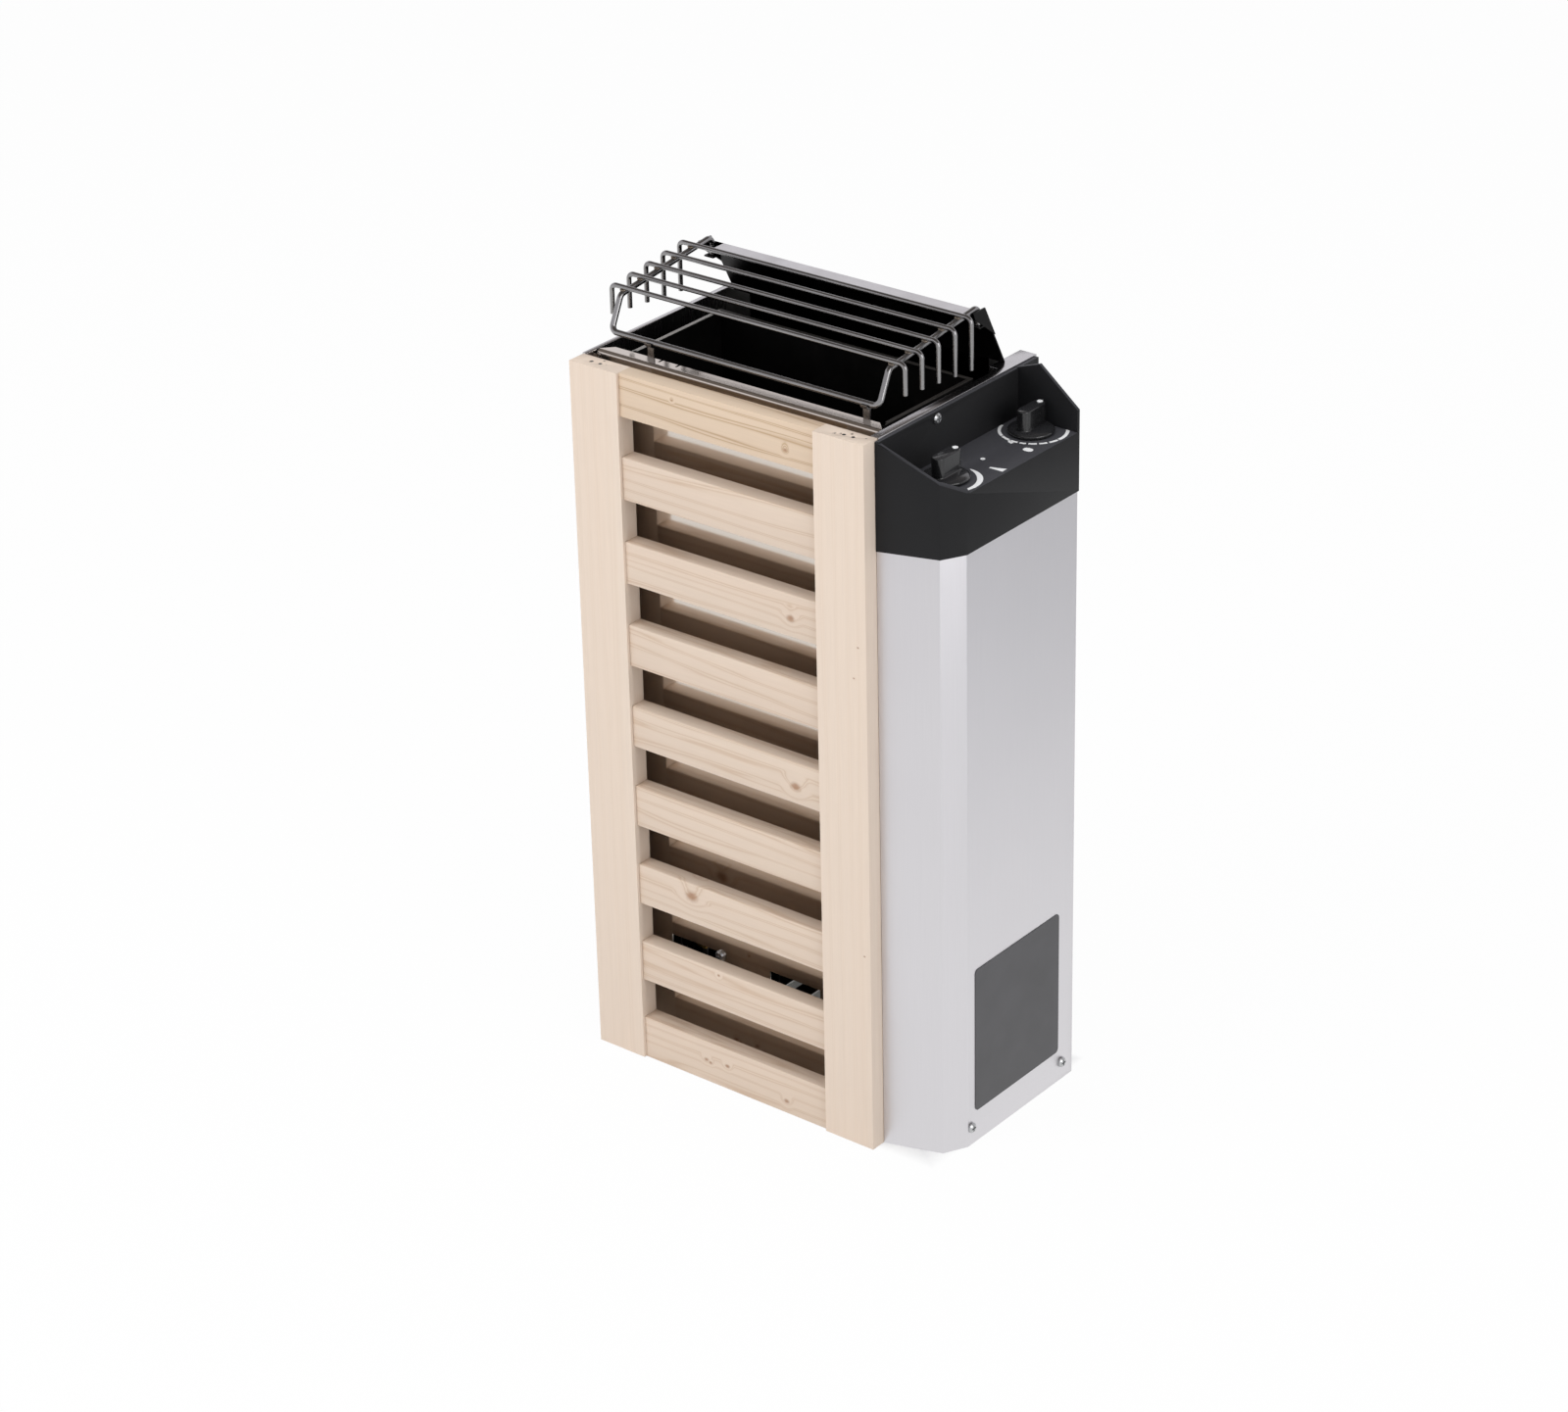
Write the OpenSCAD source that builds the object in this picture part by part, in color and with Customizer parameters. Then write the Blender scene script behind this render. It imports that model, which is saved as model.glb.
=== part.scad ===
// Small electric sauna heater with a wooden front, a steel body with an open
// stone chamber, a wire guard, a rear deflector and a control housing on the right.
// Millimetres. X runs right, Y runs back to the wall, Z runs up.
// The origin is the centre of the footprint, on the floor of the heater.

/* [Steel body] */
// Outside width of the steel body
body_w = 236; // [225:1:260]
// Height of the body's rim
body_h = 500; // [470:1:560]
// Depth from the face of the front sheet to the face of the back sheet
body_d = 134; // [130:1:170]
// Free space behind the back sheet, kept by the rails
wall_gap = 20; // [16:1:40]
// Thickness of the body and chamber sheets
sheet_t = 1; // [0.8:0.1:1.4]
// Width of the fold along the left rim
left_rim_w = 3.5; // [3:0.5:6]
// Width of the fold along the right rim
right_rim_w = 6; // [5:0.5:7]
// Width of the right rim behind the deflector
right_rim_rear_w = 12.5; // [9:0.5:16]
// Width of the folds along the upright edges of the side panels
side_fold_w = 8; // [5:0.5:10]
// Height of the base plate above the floor
base_z = 20; // [10:1:30]
// Width of one air window in the front sheet
window_w = 42; // [30:1:52]
// Height of one air window
window_h = 30; // [15:1:40]
// Height of the top edge of the air windows
window_top_z = 88; // [75:1:105]

/* [Wooden front] */
// Width of the wooden front
front_w = 234; // [222:0.5:235.5]
// Width of a stile
stile_w = 39; // [32:1:50]
// Thickness of a stile
stile_t = 14; // [13:0.5:20]
// Thickness of the rails and slats
slat_t = 12; // [8:0.5:13]
// Height of a slat
slat_h = 29.5; // [20:0.5:40]
// Number of slats between the rails
slat_count = 7; // [7:1:7]
// Height of the top rail
top_rail_h = 29.5; // [28:1:42]
// Height of the bottom rail
bottom_rail_h = 31; // [20:1:34]
// Gap below the top rail
top_gap = 28; // [16:0.5:30]
// Length of a tenon
tenon_l = 28; // [14:1:29]
// Thickness of a tenon
tenon_t = 6; // [4:0.5:7]
// Shoulder above and below a tenon
tenon_shoulder = 2; // [1:0.5:4]
// Air gap between the wooden front and the front sheet
front_gap = 10; // [6:0.5:12]
// Diameter of a stand-off sleeve
sleeve_d = 12; // [9:0.5:14]

/* [Stone chamber] */
// Air gap left of the chamber
left_gap = 23; // [18:1:28]
// Air gap right of the chamber
right_gap = 8; // [7:0.5:12]
// Air gap in front of the chamber
chamber_front_gap = 8; // [6:0.5:12]
// Air gap behind the chamber
chamber_back_gap = 34; // [24:1:36]
// Height of the top of the stone grate
grate_z = 130; // [120:1:150]
// Thickness of the stone grate
grate_t = 2; // [1.5:0.5:4]
// Width of the folds at the chamber's top edges
chamber_hem_w = 3; // [2.5:0.5:3]

/* [Heating elements] */
// Diameter of an element tube
tube_d = 8; // [6.5:0.5:9]
// Radius of the element bends, at the tube's centre
tube_bend_r = 23; // [16:0.5:24]
// Height of the top of the elements
element_top_z = 452; // [380:1:465]
// Height of the bottom bend of the elements
element_low_z = 141; // [136:1:160]
// Height of the element brackets
bracket_z = 95; // [90:1:105]

/* [Stone guard] */
// Diameter of the guard's frame wire
frame_wire_d = 4; // [3:0.2:5]
// Diameter of the guard's cross wires
cross_wire_d = 3.2; // [2.4:0.2:4]
// Distance of the frame wire from the sides of the body
frame_inset = 11.5; // [11.5:0.5:13]
// Distance of the front bar from the face of the front sheet
bar_back = 6.8; // [6:0.2:8]
// Height of the front bar above the rim
bar_up = 12; // [10:0.5:16]
// Distance of the first cross wire from the face of the front sheet
first_wire_back = 20; // [19:0.5:22]
// Spacing of the cross wires
wire_pitch = 16.9; // [15:0.1:17.2]
// Height of the first cross wire above the rim
first_wire_up = 37.5; // [34:0.5:44]
// Rise from one cross wire to the next
wire_rise = 2; // [1:0.1:3]
// Length of the first cross wire's legs
first_leg_l = 20; // [12:0.5:24]
// How much longer the next wire's legs are
leg_growth = 3.5; // [2:0.1:4]

/* [Deflector] */
// Height of the deflector above the rim
deflector_h = 39.5; // [36:0.5:42]
// How far its top leans forward
deflector_lean = 20.2; // [16:0.1:21]
// Depth of its top lip
deflector_lip = 12.5; // [9:0.5:14]
// Distance of the lip's ends from the ends of the deflector
lip_notch = 9.5; // [9:0.5:12]
// How far the peaks at its two ends stand above the lip
peak_up = 4; // [2:0.5:5]
// Distance of its ends from the sides of the body
deflector_inset = 8; // [6:0.5:8]

/* [Control housing] */
// How far the housing stands out of the body's right side
housing_w = 47.5; // [46:0.5:60]
// Set-back of the housing's front edge
housing_setback = 11.5; // [8:0.5:14]
// Depth of the housing
housing_d = 145.5; // [144:0.5:160]
// Set-back of the slanted front face over its width
face_rise = 12.2; // [8:0.2:16]
// Width of the narrow chamfer face
chamfer_w = 8.6; // [6:0.2:11]
// Depth of the narrow chamfer face
chamfer_d = 15.8; // [10:0.2:18]
// Height of the steel part of the housing
housing_h = 426; // [390:1:435]
// Height of the floor of the housing
housing_base_z = 30; // [29:1:36]
// Width of the bare data plate
plate_w = 93; // [60:1:98]
// Height of the bare data plate
plate_h = 106; // [60:1:140]

/* [Control cap] */
// Height of the cap's side wall
cap_side_h = 40.5; // [34:0.5:46]
// How far the cap stands proud of the steel
cap_proud = 0.8; // [0.4:0.1:1.5]
// Wall thickness of the cap
cap_t = 2.5; // [2:0.1:3]
// Height of the cap's inner wall above the knob panel
cap_inner_h = 32.5; // [26:0.5:34]
// Height of the back cheek's corner above the knob panel
cheek_corner_h = 15; // [10:0.5:20]
// Height of the back cheek's peak above the knob panel
cheek_peak_h = 39; // [36:0.5:44]
// Distance of the front knob from the front of the housing
knob_front = 39.5; // [36:0.5:44]
// Distance of the rear knob from the back of the housing
knob_back = 17; // [17:0.1:20]

/* [Knobs] */
// Diameter of a knob's skirt
knob_d = 30; // [26:0.5:30]
// Height of a knob
knob_h = 17; // [13:0.5:22]
// Length of the grip bar
grip_l = 24; // [16:0.5:25]
// Width of the grip bar
grip_w = 9; // [8.5:0.5:11]
// Diameter of a spindle
spindle_d = 6; // [5:0.2:6.4]

/* [Wall bracket] */
// Thickness of the wall bracket
bracket_t = 2; // [1.5:0.5:3]
// Height of the wall bracket's centre
bracket_mid_z = 416; // [380:1:425]
// Height of the wall bracket
bracket_h = 40; // [36:1:50]
// Spacing of its screw holes across
screw_span_w = 70; // [40:1:84]
// Spacing of its screw holes up
screw_span_h = 24; // [16:1:28]
// Diameter of its screw holes
screw_hole_d = 6; // [4.5:0.5:7]
// Depth of a rail across the body
rail_w = 30; // [20:1:36]

/* [Hidden] */

$fn = 48;

// One overrun for every cut, and the small clearances
over = 0.5;
joint_gap = 0.1;
seat_gap = 0.3;
weld_gap = 0.05;
run_gap = 0.05;
bend_swell = 0.04;
bend_bite = 0.1;

// Planes of the body
face_y = stile_t + front_gap;
back_y = face_y + body_d;
rear_y = back_y + sheet_t + wall_gap;
overall_d = rear_y + bracket_t;
cover_screw_head_h = 2;
overall_w = body_w + housing_w + max(cap_proud, cover_screw_head_h);
mid_x = body_w / 2;

// Wooden front
front_side_gap = 0.3;
front_x = body_w - front_side_gap - front_w;
slat_x = front_x + stile_w;
slat_w = front_w - 2 * stile_w;
slat_y = stile_t - slat_t;
front_h = body_h;
slat_pitch = (front_h - top_rail_h - top_gap - bottom_rail_h) / slat_count;
brad_d = 1.4;
brad_head_d = 2.4;
brad_head_h = 0.8;
brad_l = 11;
brad_y = 7;
brad_rows = [13, 20];
sleeve_low_z = bottom_rail_h + slat_pitch * 3 / 2 - slat_h / 2;
sleeve_high_z = front_h - top_rail_h - top_gap / 2;
screw_d = 4;
screw_l = 20;
screw_head_d = 8;
screw_head_h = 2.4;

// Bend and notches of the front sheet's lip
front_bend_r = 3;
lip_notches = [50, 64];
notch_w = 1.6;
notch_l = 3.5;

// Chamber planes
ch_x0 = sheet_t + left_gap;
ch_x1 = body_w - sheet_t - right_gap;
ch_y0 = face_y + sheet_t + chamber_front_gap;
ch_y1 = back_y - chamber_back_gap;
grate_ledge = 10;
ledge_z = grate_z - grate_t;

// Elements
element_count = 3;
element_mid_x = (ch_x0 + ch_x1) / 2;
element_pitch = (ch_y1 - ch_y0 - 2 * sheet_t) / element_count;
element_top_c = element_top_z - tube_d / 2 - tube_bend_r;
element_low_c = element_low_z + tube_d / 2 + tube_bend_r;
cold_end_l = 17;
element_end_z = bracket_z - cold_end_l;
element_play = 1;
pin_d = 4;
pin_l = 14;
collar_d = 14;
collar_h = 4;
element_bracket_w = 28;
element_bracket_t = 2;
element_flange_h = 12;

// Guard
guard_x0 = frame_inset;
guard_x1 = body_w - frame_inset;
bar_y = face_y + bar_back;
bar_z = body_h + bar_up;
wire_count = 5;
wire_end = cross_wire_d / 2;
wire_y0 = face_y + first_wire_back;
wire_z0 = body_h + first_wire_up;
wire_drop = (frame_wire_d + cross_wire_d) / 2 + weld_gap;
arm_slope = wire_rise / wire_pitch;
arm_overhang = 3;
arm_start_y = wire_y0 - arm_overhang;
hook_in = 4.8;
hook_l = 7;
clip_left_x = 44;
clip_right_in = 21;
wire_bend_r = 4.5;
cross_bend_r = 4;

// Deflector
defl_foot_y = back_y - sheet_t / 2;
defl_foot_h = 22;
defl_foot_inset = 14;
peak_low = 0.56;

// Housing outline, from the front edge at the body round to the back
hx0 = body_w;
hy0 = housing_setback;
hx1 = hx0 + housing_w;
hy1 = hy0 + housing_d;
hy_chamfer = hy0 + face_rise;
plan = [
    [hx0, hy0],
    [hx1 - chamfer_w, hy_chamfer],
    [hx1, hy_chamfer + chamfer_d],
    [hx1, hy1],
    [hx0, hy1]
];
cover_fold = 10;
panel_z = housing_h + cap_side_h;
cap_inner_top = panel_z + cap_inner_h;
cap_chamfer_up = 10;
knob_x = hx0 + housing_w / 2;
knob_rear_y = hy1 - knob_back;
knob_front_y = hy0 + knob_front;
skirt_h = 3.5;
skirt_top_cut = 1.2;
bush_d = 9;
control_w = 30;
thermostat_h = 26;
timer_h = 30;
spindle_low = 14;
plate_t = 0.4;
plate_low_z = 23.5;
plate_back = 16.5;
cover_screw_z = 13;
cover_screw_front = 4;
cover_screw_back = 12;
cover_screw_d = 3.5;
cover_screw_head_d = 7;
cap_screw_y = 70;
cap_screw_down = 4.5;

// Fittings on the housing floor
gland_r = 10;
gland_hex_r = 13;
gland_bore_r = 5;
gland_wall = 2;
gland_in = 44;
gland_x = knob_x;
gland_y = hy0 + gland_in;
gland_drop = 24;
terminal_w = 22;
terminal_limiter_gap = 5.5;
terminal_h = 24;
terminal_poles = 4;
terminal_gap = 9;
terminal_x = hx0 + terminal_w / 8;
terminal_y = gland_y + gland_hex_r + terminal_gap;
limiter_w = 24;
limiter_h = 28;
limiter_in = 22;
limiter_x = knob_x;
limiter_y = hy1 - limiter_in;
terminal_l = limiter_y - limiter_w / 2 - terminal_limiter_gap - terminal_y;
button_d = 5;
button_travel = 2;
button_out = 6;
button_l = 14;

// Sensors and wires
bulb_r = 3;
bulb_l = 80;
capillary_d = 1.6;
bulb_x = body_w - sheet_t - right_gap / 2;
tap_out = 9;
thermostat_tap_y = knob_rear_y - tap_out;
thermostat_tap_x = knob_x - tap_out;
thermostat_hole_z = 400;
limiter_tap_x = limiter_x - tap_out;
limiter_tap_y = limiter_y - tap_out;
limiter_hole_z = 305;
limiter_hole_y = 100;
power_hole_z = 71;
power_hole_y = ch_y0 + sheet_t + element_pitch * element_count / 2;
power_hole_r = 10;
small_hole_r = 4;
grommet_wall = 2;
grommet_lip = 1.2;
wire_d = 3;
wire_row = 6;
wire_rise_gap = 30;
wire_turn_r = 5;
sensor_turn_r = 2.5;

// Wall fixings
rail_inset = 60;
rail_low_z = 60;
rail_high_z = 440;
hook_w = 12;
hook_t = 2;
hook_reach = 7;
hook_up = 8;
hook_play = 2;

// Shifts every piece from the front left corner to the centre of the footprint
module seat() {
    translate([-overall_w / 2, -overall_d / 2, 0]) children();
}

// Outline moved inwards by t, with mitred corners, for points in counter-clockwise order
function unit(v) = v / norm(v);
function left_normal(a, b) = let (d = unit(b - a)) [-d[1], d[0]];
function corner(p, n1, n2, t) = p + (n1 + n2) * t / (1 + n1 * n2);
function inset(pts, t) = [
    for (i = [0 : len(pts) - 1])
        let (
            prev = pts[(i + len(pts) - 1) % len(pts)],
            next = pts[(i + 1) % len(pts)]
        )
        corner(pts[i], left_normal(prev, pts[i]), left_normal(pts[i], next), t)
];

// Open line thickened to its left by t, as a closed outline of folded sheet
function side_points(pts, t) = [
    for (i = [0 : len(pts) - 1])
        let (
            n1 = i == 0 ? left_normal(pts[0], pts[1]) : left_normal(pts[i - 1], pts[i]),
            n2 = i == len(pts) - 1 ? n1 : left_normal(pts[i], pts[i + 1])
        )
        corner(pts[i], n1, n2, t)
];
function reversed(pts) = [for (i = [len(pts) - 1 : -1 : 0]) pts[i]];
function ribbon(pts, t) = concat(pts, reversed(side_points(pts, t)));

// Sheet folded along a line in the Y-Z plane, running along X from x0 to x1
module folded_yz(pts, t, x0, x1) {
    translate([x0, 0, 0]) rotate([90, 0, 90]) linear_extrude(x1 - x0) polygon(ribbon(pts, t));
}

// Flat piece drawn in the X-Z plane, running along Y from y0 to y1
module plate_xz(pts, y0, y1) {
    translate([0, y1, 0]) rotate([90, 0, 0]) linear_extrude(y1 - y0) polygon(pts);
}

module box(low, high) {
    translate(low) cube(high - low);
}

// How far a bend of radius r at point i cuts into the straights beside it
function reach_at(p, i, r) = i == 0 || i == len(p) - 1 ? 0
    : r * tan(acos(unit(p[i] - p[i - 1]) * unit(p[i + 1] - p[i])) / 2);

// Straight i of the wire along local Z, its bend, then the rest of the wire in the turned frame.
// A bend is a hair thicker than the straights, which run a little way into it.
module wire_run(p, i, x, r, d) {
    u = unit(p[i + 1] - p[i]);
    last = i == len(p) - 2;
    straight = norm(p[i + 1] - p[i]) - reach_at(p, i, r) - reach_at(p, i + 1, r);
    translate([0, 0, i == 0 ? 0 : -bend_bite])
        cylinder(d = d, h = straight + (i == 0 ? 0 : bend_bite) + (last ? 0 : bend_bite));
    if (!last) {
        w = unit(p[i + 2] - p[i + 1]);
        turn = acos(u * w);
        inward = unit(w - u * (u * w));
        roll = atan2(inward * cross(u, x), inward * x);
        translate([0, 0, straight]) rotate([0, 0, roll]) translate([r, 0, 0]) {
            rotate([90, 0, 180]) rotate_extrude(angle = turn) translate([r, 0]) circle(d = d + bend_swell);
            rotate([0, turn, 0]) translate([-r, 0, 0])
                wire_run(p, i + 1, inward * cos(turn) - u * sin(turn), r, d);
        }
    }
}

// Round wire bent along the points p, with bends of radius r
module bent_wire(p, r, d) {
    u = unit(p[1] - p[0]);
    side = abs(u[2]) > abs(u[0]) ? [1, 0, 0] : [0, 0, 1];
    x = unit(side - u * (side * u));
    y = cross(u, x);
    multmatrix([
        [x[0], y[0], u[0], p[0][0]],
        [x[1], y[1], u[1], p[0][1]],
        [x[2], y[2], u[2], p[0][2]]
    ]) wire_run(p, 0, x, r, d);
}

// Pan head screw along -Y from a point, head out, with a cross slot
module cross_head(d, h) {
    slot_w = d / 7;
    difference() {
        union() {
            cylinder(d = d, h = h / 2);
            translate([0, 0, h / 2]) cylinder(d1 = d, d2 = d * 0.7, h = h / 2);
        }
        for (turn = [0, 90]) rotate([0, 0, turn])
            translate([-d / 3.2, -slot_w / 2, h / 2]) cube([d / 1.6, slot_w, h]);
    }
}

// Wooden front

function slat_low(i) = bottom_rail_h + (i + 1) * slat_pitch - slat_h;
tenon_y = slat_y + (slat_t - tenon_t) / 2;

module rail_bar(z0, h) {
    seat() {
        box([slat_x, slat_y, z0], [slat_x + slat_w, stile_t, z0 + h]);
        difference() {
            box(
                [slat_x - tenon_l, tenon_y, z0 + tenon_shoulder],
                [slat_x + slat_w + tenon_l, tenon_y + tenon_t, z0 + h - tenon_shoulder]
            );
            brad_holes();
        }
    }
}

module mortises() {
    for (i = [-1 : slat_count]) {
        z0 = i < 0 ? 0 : i == slat_count ? front_h - top_rail_h : slat_low(i);
        h = i < 0 ? bottom_rail_h : i == slat_count ? top_rail_h : slat_h;
        box(
            [slat_x - tenon_l - joint_gap, tenon_y - joint_gap, z0 + tenon_shoulder - joint_gap],
            [
                slat_x + slat_w + tenon_l + joint_gap,
                tenon_y + tenon_t + joint_gap,
                z0 + h - tenon_shoulder + joint_gap
            ]
        );
    }
}

// Brads driven into the ends of the stiles, through the tenons of the two rails
module at_brads() {
    for (row = brad_rows, x = [front_x + row, front_x + front_w - row]) {
        translate([x, brad_y, 0]) children();
        translate([x, brad_y, front_h]) rotate([180, 0, 0]) children();
    }
}

module brad_holes() {
    at_brads() {
        translate([0, 0, -over]) cylinder(d = brad_d, h = brad_l + over, $fn = 24);
        translate([0, 0, -over]) cylinder(d = brad_head_d, h = brad_head_h + over, $fn = 24);
    }
}

module brads() {
    color("dimgray") seat() at_brads() {
        cylinder(d = brad_d, h = brad_l, $fn = 24);
        cylinder(d = brad_head_d, h = brad_head_h, $fn = 24);
    }
}

module at_standoffs() {
    for (x = [front_x + stile_w / 2, front_x + front_w - stile_w / 2])
        for (z = [sleeve_low_z, sleeve_high_z])
            translate([x, 0, z]) rotate([-90, 0, 0]) children();
}

module stile(x0) {
    color("burlywood") seat() difference() {
        box([x0, 0, 0], [x0 + stile_w, stile_t, front_h]);
        mortises();
        brad_holes();
        at_standoffs() translate([0, 0, face_y + sheet_t - screw_l])
            cylinder(d = screw_d, h = screw_l);
    }
}

module stile_left() { stile(front_x); }
module stile_right() { stile(front_x + front_w - stile_w); }
module top_rail() { color("wheat") rail_bar(front_h - top_rail_h, top_rail_h); }
module bottom_rail() { color("wheat") rail_bar(0, bottom_rail_h); }
module slat(i) { color("wheat") rail_bar(slat_low(i), slat_h); }

module wood_standoffs() {
    color("silver") seat() at_standoffs() translate([0, 0, stile_t]) difference() {
        cylinder(d = sleeve_d, h = front_gap);
        translate([0, 0, -over]) cylinder(d = screw_d + seat_gap, h = front_gap + 2 * over);
    }
}

window_gap = window_w;
window_mid_x = mid_x - 6;
tongue_screw_x = window_mid_x - window_gap / 2;

module at_tongue_screw() {
    translate([tongue_screw_x, face_y, window_top_z - screw_head_d / 3])
        rotate([90, 0, 0]) children();
}

module front_sheet_screws() {
    color("gainsboro") seat() {
        at_standoffs() {
            translate([0, 0, face_y + sheet_t - screw_l]) cylinder(d = screw_d, h = screw_l);
            translate([0, 0, face_y + sheet_t]) cross_head(screw_head_d, screw_head_h);
        }
        at_tongue_screw() {
            cross_head(screw_head_d, screw_head_h);
            translate([0, 0, -chamber_front_gap / 2]) cylinder(d = screw_d, h = chamber_front_gap / 2);
        }
    }
}

// Steel body

// Folded side wall: rim fold on top, narrow folds on its upright edges
module side_wall(rim_w) {
    box([0, stile_t + sheet_t, 0], [sheet_t, rear_y, body_h]);
    box([0, stile_t + sheet_t, body_h - sheet_t], [rim_w, rear_y, body_h]);
    box([0, stile_t + sheet_t, 0], [side_fold_w, stile_t + 2 * sheet_t, body_h - 2 * sheet_t]);
    box([0, rear_y - sheet_t, 0], [side_fold_w, rear_y, body_h - sheet_t]);
}

module left_side_panel() {
    color("silver") seat() side_wall(left_rim_w);
}

module partition_holes() {
    translate([body_w - sheet_t - over, power_hole_y, power_hole_z]) rotate([0, 90, 0])
        cylinder(r = power_hole_r, h = sheet_t + 2 * over);
    for (p = [[thermostat_tap_y, thermostat_hole_z], [limiter_hole_y, limiter_hole_z]])
        translate([body_w - sheet_t - over, p[0], p[1]]) rotate([0, 90, 0])
            cylinder(r = small_hole_r, h = sheet_t + 2 * over);
}

module right_side_panel() {
    color("silver") seat() difference() {
        union() {
            translate([body_w, 0, 0]) mirror([1, 0, 0]) side_wall(right_rim_w);
            box(
                [body_w - right_rim_rear_w, back_y - deflector_lip, body_h - sheet_t],
                [body_w, rear_y, body_h]
            );
        }
        partition_holes();
        at_cap_screw() translate([0, 0, -cap_t - sheet_t - over])
            cylinder(d = cover_screw_d, h = cap_t + sheet_t + over);
    }
}

module window_cuts(y0, y1) {
    for (side = [-1, 1])
        translate([
            window_mid_x + side * (window_gap + window_w) / 2 - window_w / 2, y0, window_top_z - window_h
        ]) cube([window_w, y1 - y0, window_h]);
}

// Front sheet, bent round at the top into a lip with mitred ends
module front_sheet() {
    lip_l = 2 * sheet_t + chamber_front_gap - front_bend_r;
    lip_x0 = left_rim_w + sheet_t;
    lip_x1 = body_w - right_rim_w - sheet_t / 2;
    bend_y = face_y + front_bend_r;
    bend_z = body_h - front_bend_r;
    color("gainsboro") seat() difference() {
        union() {
            box([sheet_t, face_y, 0], [body_w - sheet_t, face_y + sheet_t, bend_z]);
            difference() {
                translate([lip_x0, bend_y, bend_z]) rotate([0, 90, 0])
                    cylinder(r = front_bend_r, h = lip_x1 - lip_x0);
                translate([lip_x0 - over, bend_y, bend_z]) rotate([0, 90, 0])
                    cylinder(r = front_bend_r - sheet_t, h = lip_x1 - lip_x0 + 2 * over);
                box([0, bend_y, 0], [body_w, bend_y + 2 * front_bend_r, body_h + over]);
                box([0, face_y - over, 0], [body_w, bend_y + over, bend_z]);
            }
            translate([0, 0, body_h - sheet_t]) linear_extrude(sheet_t) polygon([
                [lip_x0, bend_y],
                [lip_x1, bend_y],
                [lip_x1 - lip_l, bend_y + lip_l],
                [lip_x0 + lip_l, bend_y + lip_l]
            ]);
        }
        for (x = lip_notches)
            box([x - notch_w / 2, bend_y + lip_l - notch_l, bend_z], [x + notch_w / 2, bend_y + lip_l + over, body_h + over]);
        window_cuts(face_y - over, face_y + sheet_t + over);
        at_standoffs() translate([0, 0, face_y - over]) cylinder(d = screw_d, h = sheet_t + 2 * over);
        at_tongue_screw() translate([0, 0, -sheet_t - over]) cylinder(d = screw_d, h = sheet_t + 2 * over);
    }
}

module back_sheet() {
    color("darkgray") seat()
        box([sheet_t, back_y, 0], [body_w - sheet_t, back_y + sheet_t, body_h - sheet_t]);
}

module base_plate() {
    slot_w = 8;
    slot_gap = 14;
    slot_l = body_d - 2 * side_fold_w - 2 * slot_gap;
    slots = floor((body_w - 4 * slot_gap) / (slot_w + slot_gap));
    first = mid_x - (slots * slot_w + (slots - 1) * slot_gap) / 2;
    color("darkgray") seat() difference() {
        box([sheet_t, face_y + sheet_t, base_z], [body_w - sheet_t, back_y, base_z + sheet_t]);
        for (i = [0 : slots - 1])
            translate([first + i * (slot_w + slot_gap), (face_y + back_y - slot_l) / 2, base_z - over])
                cube([slot_w, slot_l, sheet_t + 2 * over]);
    }
}

// Stone chamber

module chamber_side(x0, inward) {
    ledge = inward * grate_ledge;
    hem = inward * chamber_hem_w;
    far = x0 + inward * sheet_t;
    box([min(x0, far), ch_y0 + sheet_t, ledge_z - sheet_t], [max(x0, far), ch_y1 - sheet_t, body_h]);
    box(
        [min(x0, x0 + ledge), ch_y0 + sheet_t, ledge_z - sheet_t],
        [max(x0, x0 + ledge), ch_y1 - sheet_t, ledge_z]
    );
    box(
        [min(x0, x0 + hem), ch_y0 + sheet_t + chamber_hem_w, body_h - sheet_t],
        [max(x0, x0 + hem), ch_y1 - chamber_hem_w, body_h]
    );
}

module chamber_left_wall() { color("dimgray") seat() chamber_side(ch_x0, 1); }
module chamber_right_wall() { color("dimgray") seat() chamber_side(ch_x1, -1); }

module chamber_front_wall() {
    color("dimgray") seat() difference() {
        box([ch_x0, ch_y0, base_z + sheet_t], [ch_x1, ch_y0 + sheet_t, body_h - sheet_t]);
        window_cuts(ch_y0 - over, ch_y0 + sheet_t + over);
    }
}

module chamber_back_wall() {
    color("dimgray") seat() difference() {
        union() {
            box([ch_x0, ch_y1 - sheet_t, base_z + sheet_t], [ch_x1, ch_y1, body_h]);
            box(
                [ch_x0 + sheet_t, ch_y1 - chamber_hem_w, body_h - sheet_t],
                [ch_x1 - sheet_t, ch_y1, body_h]
            );
        }
        window_cuts(ch_y1 - sheet_t - over, ch_y1 + over);
    }
}

module stone_grate() {
    rim = 8;
    slot_w = 10;
    slot_gap = 5;
    x0 = ch_x0 + sheet_t + joint_gap;
    x1 = ch_x1 - sheet_t - joint_gap;
    y0 = ch_y0 + sheet_t + joint_gap;
    y1 = ch_y1 - sheet_t - joint_gap;
    inner = x1 - x0 - 2 * grate_ledge - 2 * rim;
    slots = floor((inner + slot_gap) / (slot_w + slot_gap));
    first = (x0 + x1 - slots * slot_w - (slots - 1) * slot_gap) / 2;
    slot_l = (y1 - y0 - 3 * rim) / 2;
    color("slategray") seat() difference() {
        box([x0, y0, ledge_z], [x1, y1, grate_z]);
        for (i = [0 : slots - 1], row = [0, 1])
            translate([
                first + i * (slot_w + slot_gap), y0 + rim + row * (slot_l + rim), ledge_z - over
            ]) cube([slot_w, slot_l, grate_t + 2 * over]);
        at_element_ends() translate([0, 0, ledge_z - over])
            cylinder(d = tube_d + 2 * element_play, h = grate_t + 2 * over);
    }
}

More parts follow.
